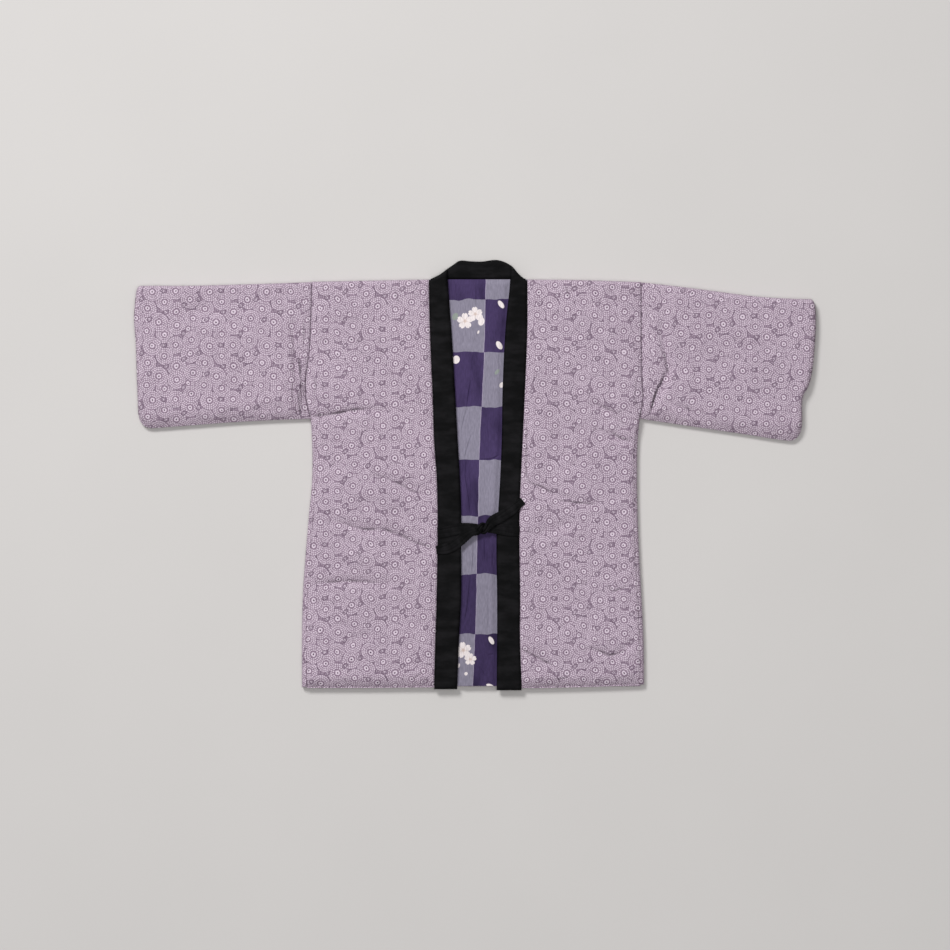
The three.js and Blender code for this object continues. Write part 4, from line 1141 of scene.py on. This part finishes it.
def makeTie(name, rows, seed):
    line, length = followed(rows)
    ahead = np.gradient(line[:, :3], axis=0)
    ahead /= np.linalg.norm(ahead, axis=1)[:, None]
    across = np.cross((0, 0, 1), ahead)
    across /= np.linalg.norm(across, axis=1)[:, None]
    lift = np.cross(ahead, across)
    width = line[:, 3]
    squeezed = 1 - smooth(np.hypot(line[:, 0] - knot["x"], line[:, 1] - knot["y"]), *tie["squeezedTo"])
    thick = lerp(tie["wall"], tie["gathered"][1], squeezed**2)
    # Each ring runs along the top from one long edge to the other, and back underneath.
    top = np.sin(np.linspace(-1, 1, tie["across"]) * math.pi / 2)
    wide = np.concatenate([top, top[1:-1][::-1]])[None, :]
    over = np.concatenate([np.ones(len(top)), -np.ones(len(top) - 2)])
    power = lerp(6, 2, squeezed)[:, None]
    tall = over * (1 - np.minimum(np.abs(wide), 1) ** power) ** (1 / power)
    run = np.linspace(0, length, len(line))[:, None]
    # Two lengthwise creases wander along the tape, and pleats gather where it is squeezed together.
    grooves = 0
    for i, (depth, place, sway, waves, reach) in enumerate(tie["creases"], 1):
        off = (wide - place - sway * np.sin(run * waves + i * seed)) / reach
        grooves = grooves + depth * np.exp(-(off**2))
    grooves = grooves + (0.22 + 0.22 * np.cos(wide * 8 + 0.9 * np.sin(run * 90 + seed))) * squeezed[:, None]
    tall = np.where(over > 0, tall * (1 - grooves), tall)
    ending = np.clip(np.minimum(run, length - run) / tie["endReach"], 0, 1)
    tall = tall * np.sqrt(1 - (1 - ending) ** 2 * 0.7)
    points = (
        line[:, None, :3]
        + across[:, None, :] * (width[:, None] / 2 * wide)[..., None]
        + lift[:, None, :] * (thick[:, None] / 2 * tall)[..., None]
    )
    rings, sides = points.shape[:2]
    index = np.arange(rings * sides).reshape(rings, sides)
    faces = quadsOf(np.concatenate([index, index[:, :1]], axis=1)).tolist()
    last = len(top) - 1
    for ring in (index[0], index[-1]):
        above, below = ring[1:last], ring[last + 1 :][::-1]
        faces += quadsOf(np.stack([above, below])).tolist()
        faces.append([int(ring[0]), int(above[0]), int(below[0])])
        faces.append([int(ring[last]), int(above[-1]), int(below[-1])])
    step = np.linalg.norm(np.diff(points, axis=1), axis=2)
    girth = np.concatenate([np.zeros((rings, 1)), np.cumsum(step, axis=1)], axis=1)
    cloth = np.stack([girth, run + 0 * girth], axis=-1).reshape(-1, 2)
    piece = meshPiece(name, points.reshape(-1, 3), faces, {"cloth": cloth})
    return dress(piece, tape, "black", "tie_" + name[3:].lower()), length


turns = {"left": knotTurn(-math.pi / 4, True), "right": knotTurn(3 * math.pi / 4, False)[::-1]}
for seed, side in enumerate(bothSides, 1):
    rows = [*atRest(tieRows[side + "Root"]), *turns[side], *atRest(tieRows[side + "Tail"])]
    makeTie("tie" + side.capitalize(), rows, seed)


stitch = {"every": 0.0046, "length": 0.0026, "radius": 0.0002, "lean": 0.5, "height": 0.0146, "sink": 1.6,
          "rings": 5, "sides": 6}


# Stitches along a seam of both sides: short rounded threads laid across it, between the two cloths.
def makeStitches(name, table, column, low, high, material, slot):
    s, rings, count = stitch, stitch["rings"], stitch["sides"]
    angles = 2 * math.pi * np.arange(count) / count
    ahead = np.array([math.cos(s["lean"]), math.sin(s["lean"]), 0])
    aside = np.array([-ahead[1], ahead[0], 0])
    ys = np.linspace(low, high, int((high - low) / s["every"]))
    places = [(float(read(table, "y", side + column, y)), y, s["height"]) for side in bothSides for y in ys]
    points, faces = [], []
    for place in places:
        base = len(points)
        for t in np.linspace(-1, 1, rings):
            sunk = upward * abs(t) ** 3 * s["radius"] * s["sink"]
            centre = np.array(place) + ahead * t * s["length"] / 2 - sunk
            girth = s["radius"] * math.sqrt(max(0.08, 1 - abs(t) ** 4))
            points += [centre + girth * (math.cos(a) * aside + math.sin(a) * upward) for a in angles]
        for k in range(rings - 1):
            for j in range(count):
                here, after, beyond = base + k * count, base + (k + 1) * count, (j + 1) % count
                faces.append([here + j, here + beyond, after + beyond, after + j])
        for ring in (base, base + (rings - 1) * count):
            faces.append([ring, ring + 1, ring + 2, ring + 3])
            faces.append([ring, ring + 3, ring + 4, ring + 5])
    dress(meshPiece(name, np.array(points), faces, {"cloth": np.zeros((len(points), 2))}), material, slot)


makeStitches("bandStitches", collarLine, "Outer", -0.392, 0.358, blackThread, "black")
makeStitches("armholeStitches", sideSeam, "", 0.118, 0.352, mauveThread, "print")
print("stitches made")

# Floor, light and camera

studio = {"floorTone": tone(208, 205, 203), "floorSize": 5.0, "frameWidth": 1.786, "cameraHeight": 8.0,
          "key": (-3.0, 4.6, 5.6), "keyPower": 430, "keySize": 2.6,
          "fill": (0.3, -0.3, 5.0), "fillPower": 78, "fillSize": 3.0, "sky": 0.26}


def makeFloor():
    size = studio["floorSize"]
    bpy.ops.object.select_all(action="DESELECT")
    bpy.ops.mesh.primitive_grid_add(x_subdivisions=40, y_subdivisions=40, size=size, location=(0, 0, 0))
    floor = bpy.context.object
    floor.name = "floor"
    material, tree, shader = newMaterial("pale floor", 0.9, Specular_IOR_Level=0.2)
    place = addNode(tree, "ShaderNodeTexCoord").outputs["Object"]
    grain = calc(tree, "MULTIPLY_ADD", noise(tree, place, 3.0, 4.0), 0.05, 0.975)
    paint(tree, shader, withValue(tree, studio["floorTone"], grain))
    bumpFrom(tree, shader, noise(tree, place, 260.0, 3.0), 0.08, 0.001)
    floor.data.materials.append(material)


def makeLight(name, place, power, size):
    light = bpy.data.lights.new(name, "AREA")
    light.energy = power
    light.shape = "DISK"
    light.size = size
    lamp = bpy.data.objects.new(name, light)
    lamp.location = place
    lamp.rotation_euler = (-Vector(place)).to_track_quat("-Z", "Y").to_euler()
    bpy.context.scene.collection.objects.link(lamp)


def makeCamera():
    lens = bpy.data.cameras.new("camera")
    lens.sensor_width = 36
    lens.lens = 36 * studio["cameraHeight"] / studio["frameWidth"]
    lens.clip_end = 100
    camera = bpy.data.objects.new("camera", lens)
    camera.location = (0, 0, studio["cameraHeight"])
    bpy.context.scene.collection.objects.link(camera)
    bpy.context.scene.camera = camera


makeFloor()
makeLight("key light", studio["key"], studio["keyPower"], studio["keySize"])
makeLight("fill light", studio["fill"], studio["fillPower"], studio["fillSize"])
makeCamera()
world = bpy.data.worlds.new("studio")
world.use_nodes = True
world.node_tree.nodes["Background"].inputs["Color"].default_value = (1, 1, 1, 1)
world.node_tree.nodes["Background"].inputs["Strength"].default_value = studio["sky"]
bpy.context.scene.world = world
bpy.context.scene.view_settings.view_transform = "Standard"
print("floor, light and camera made")
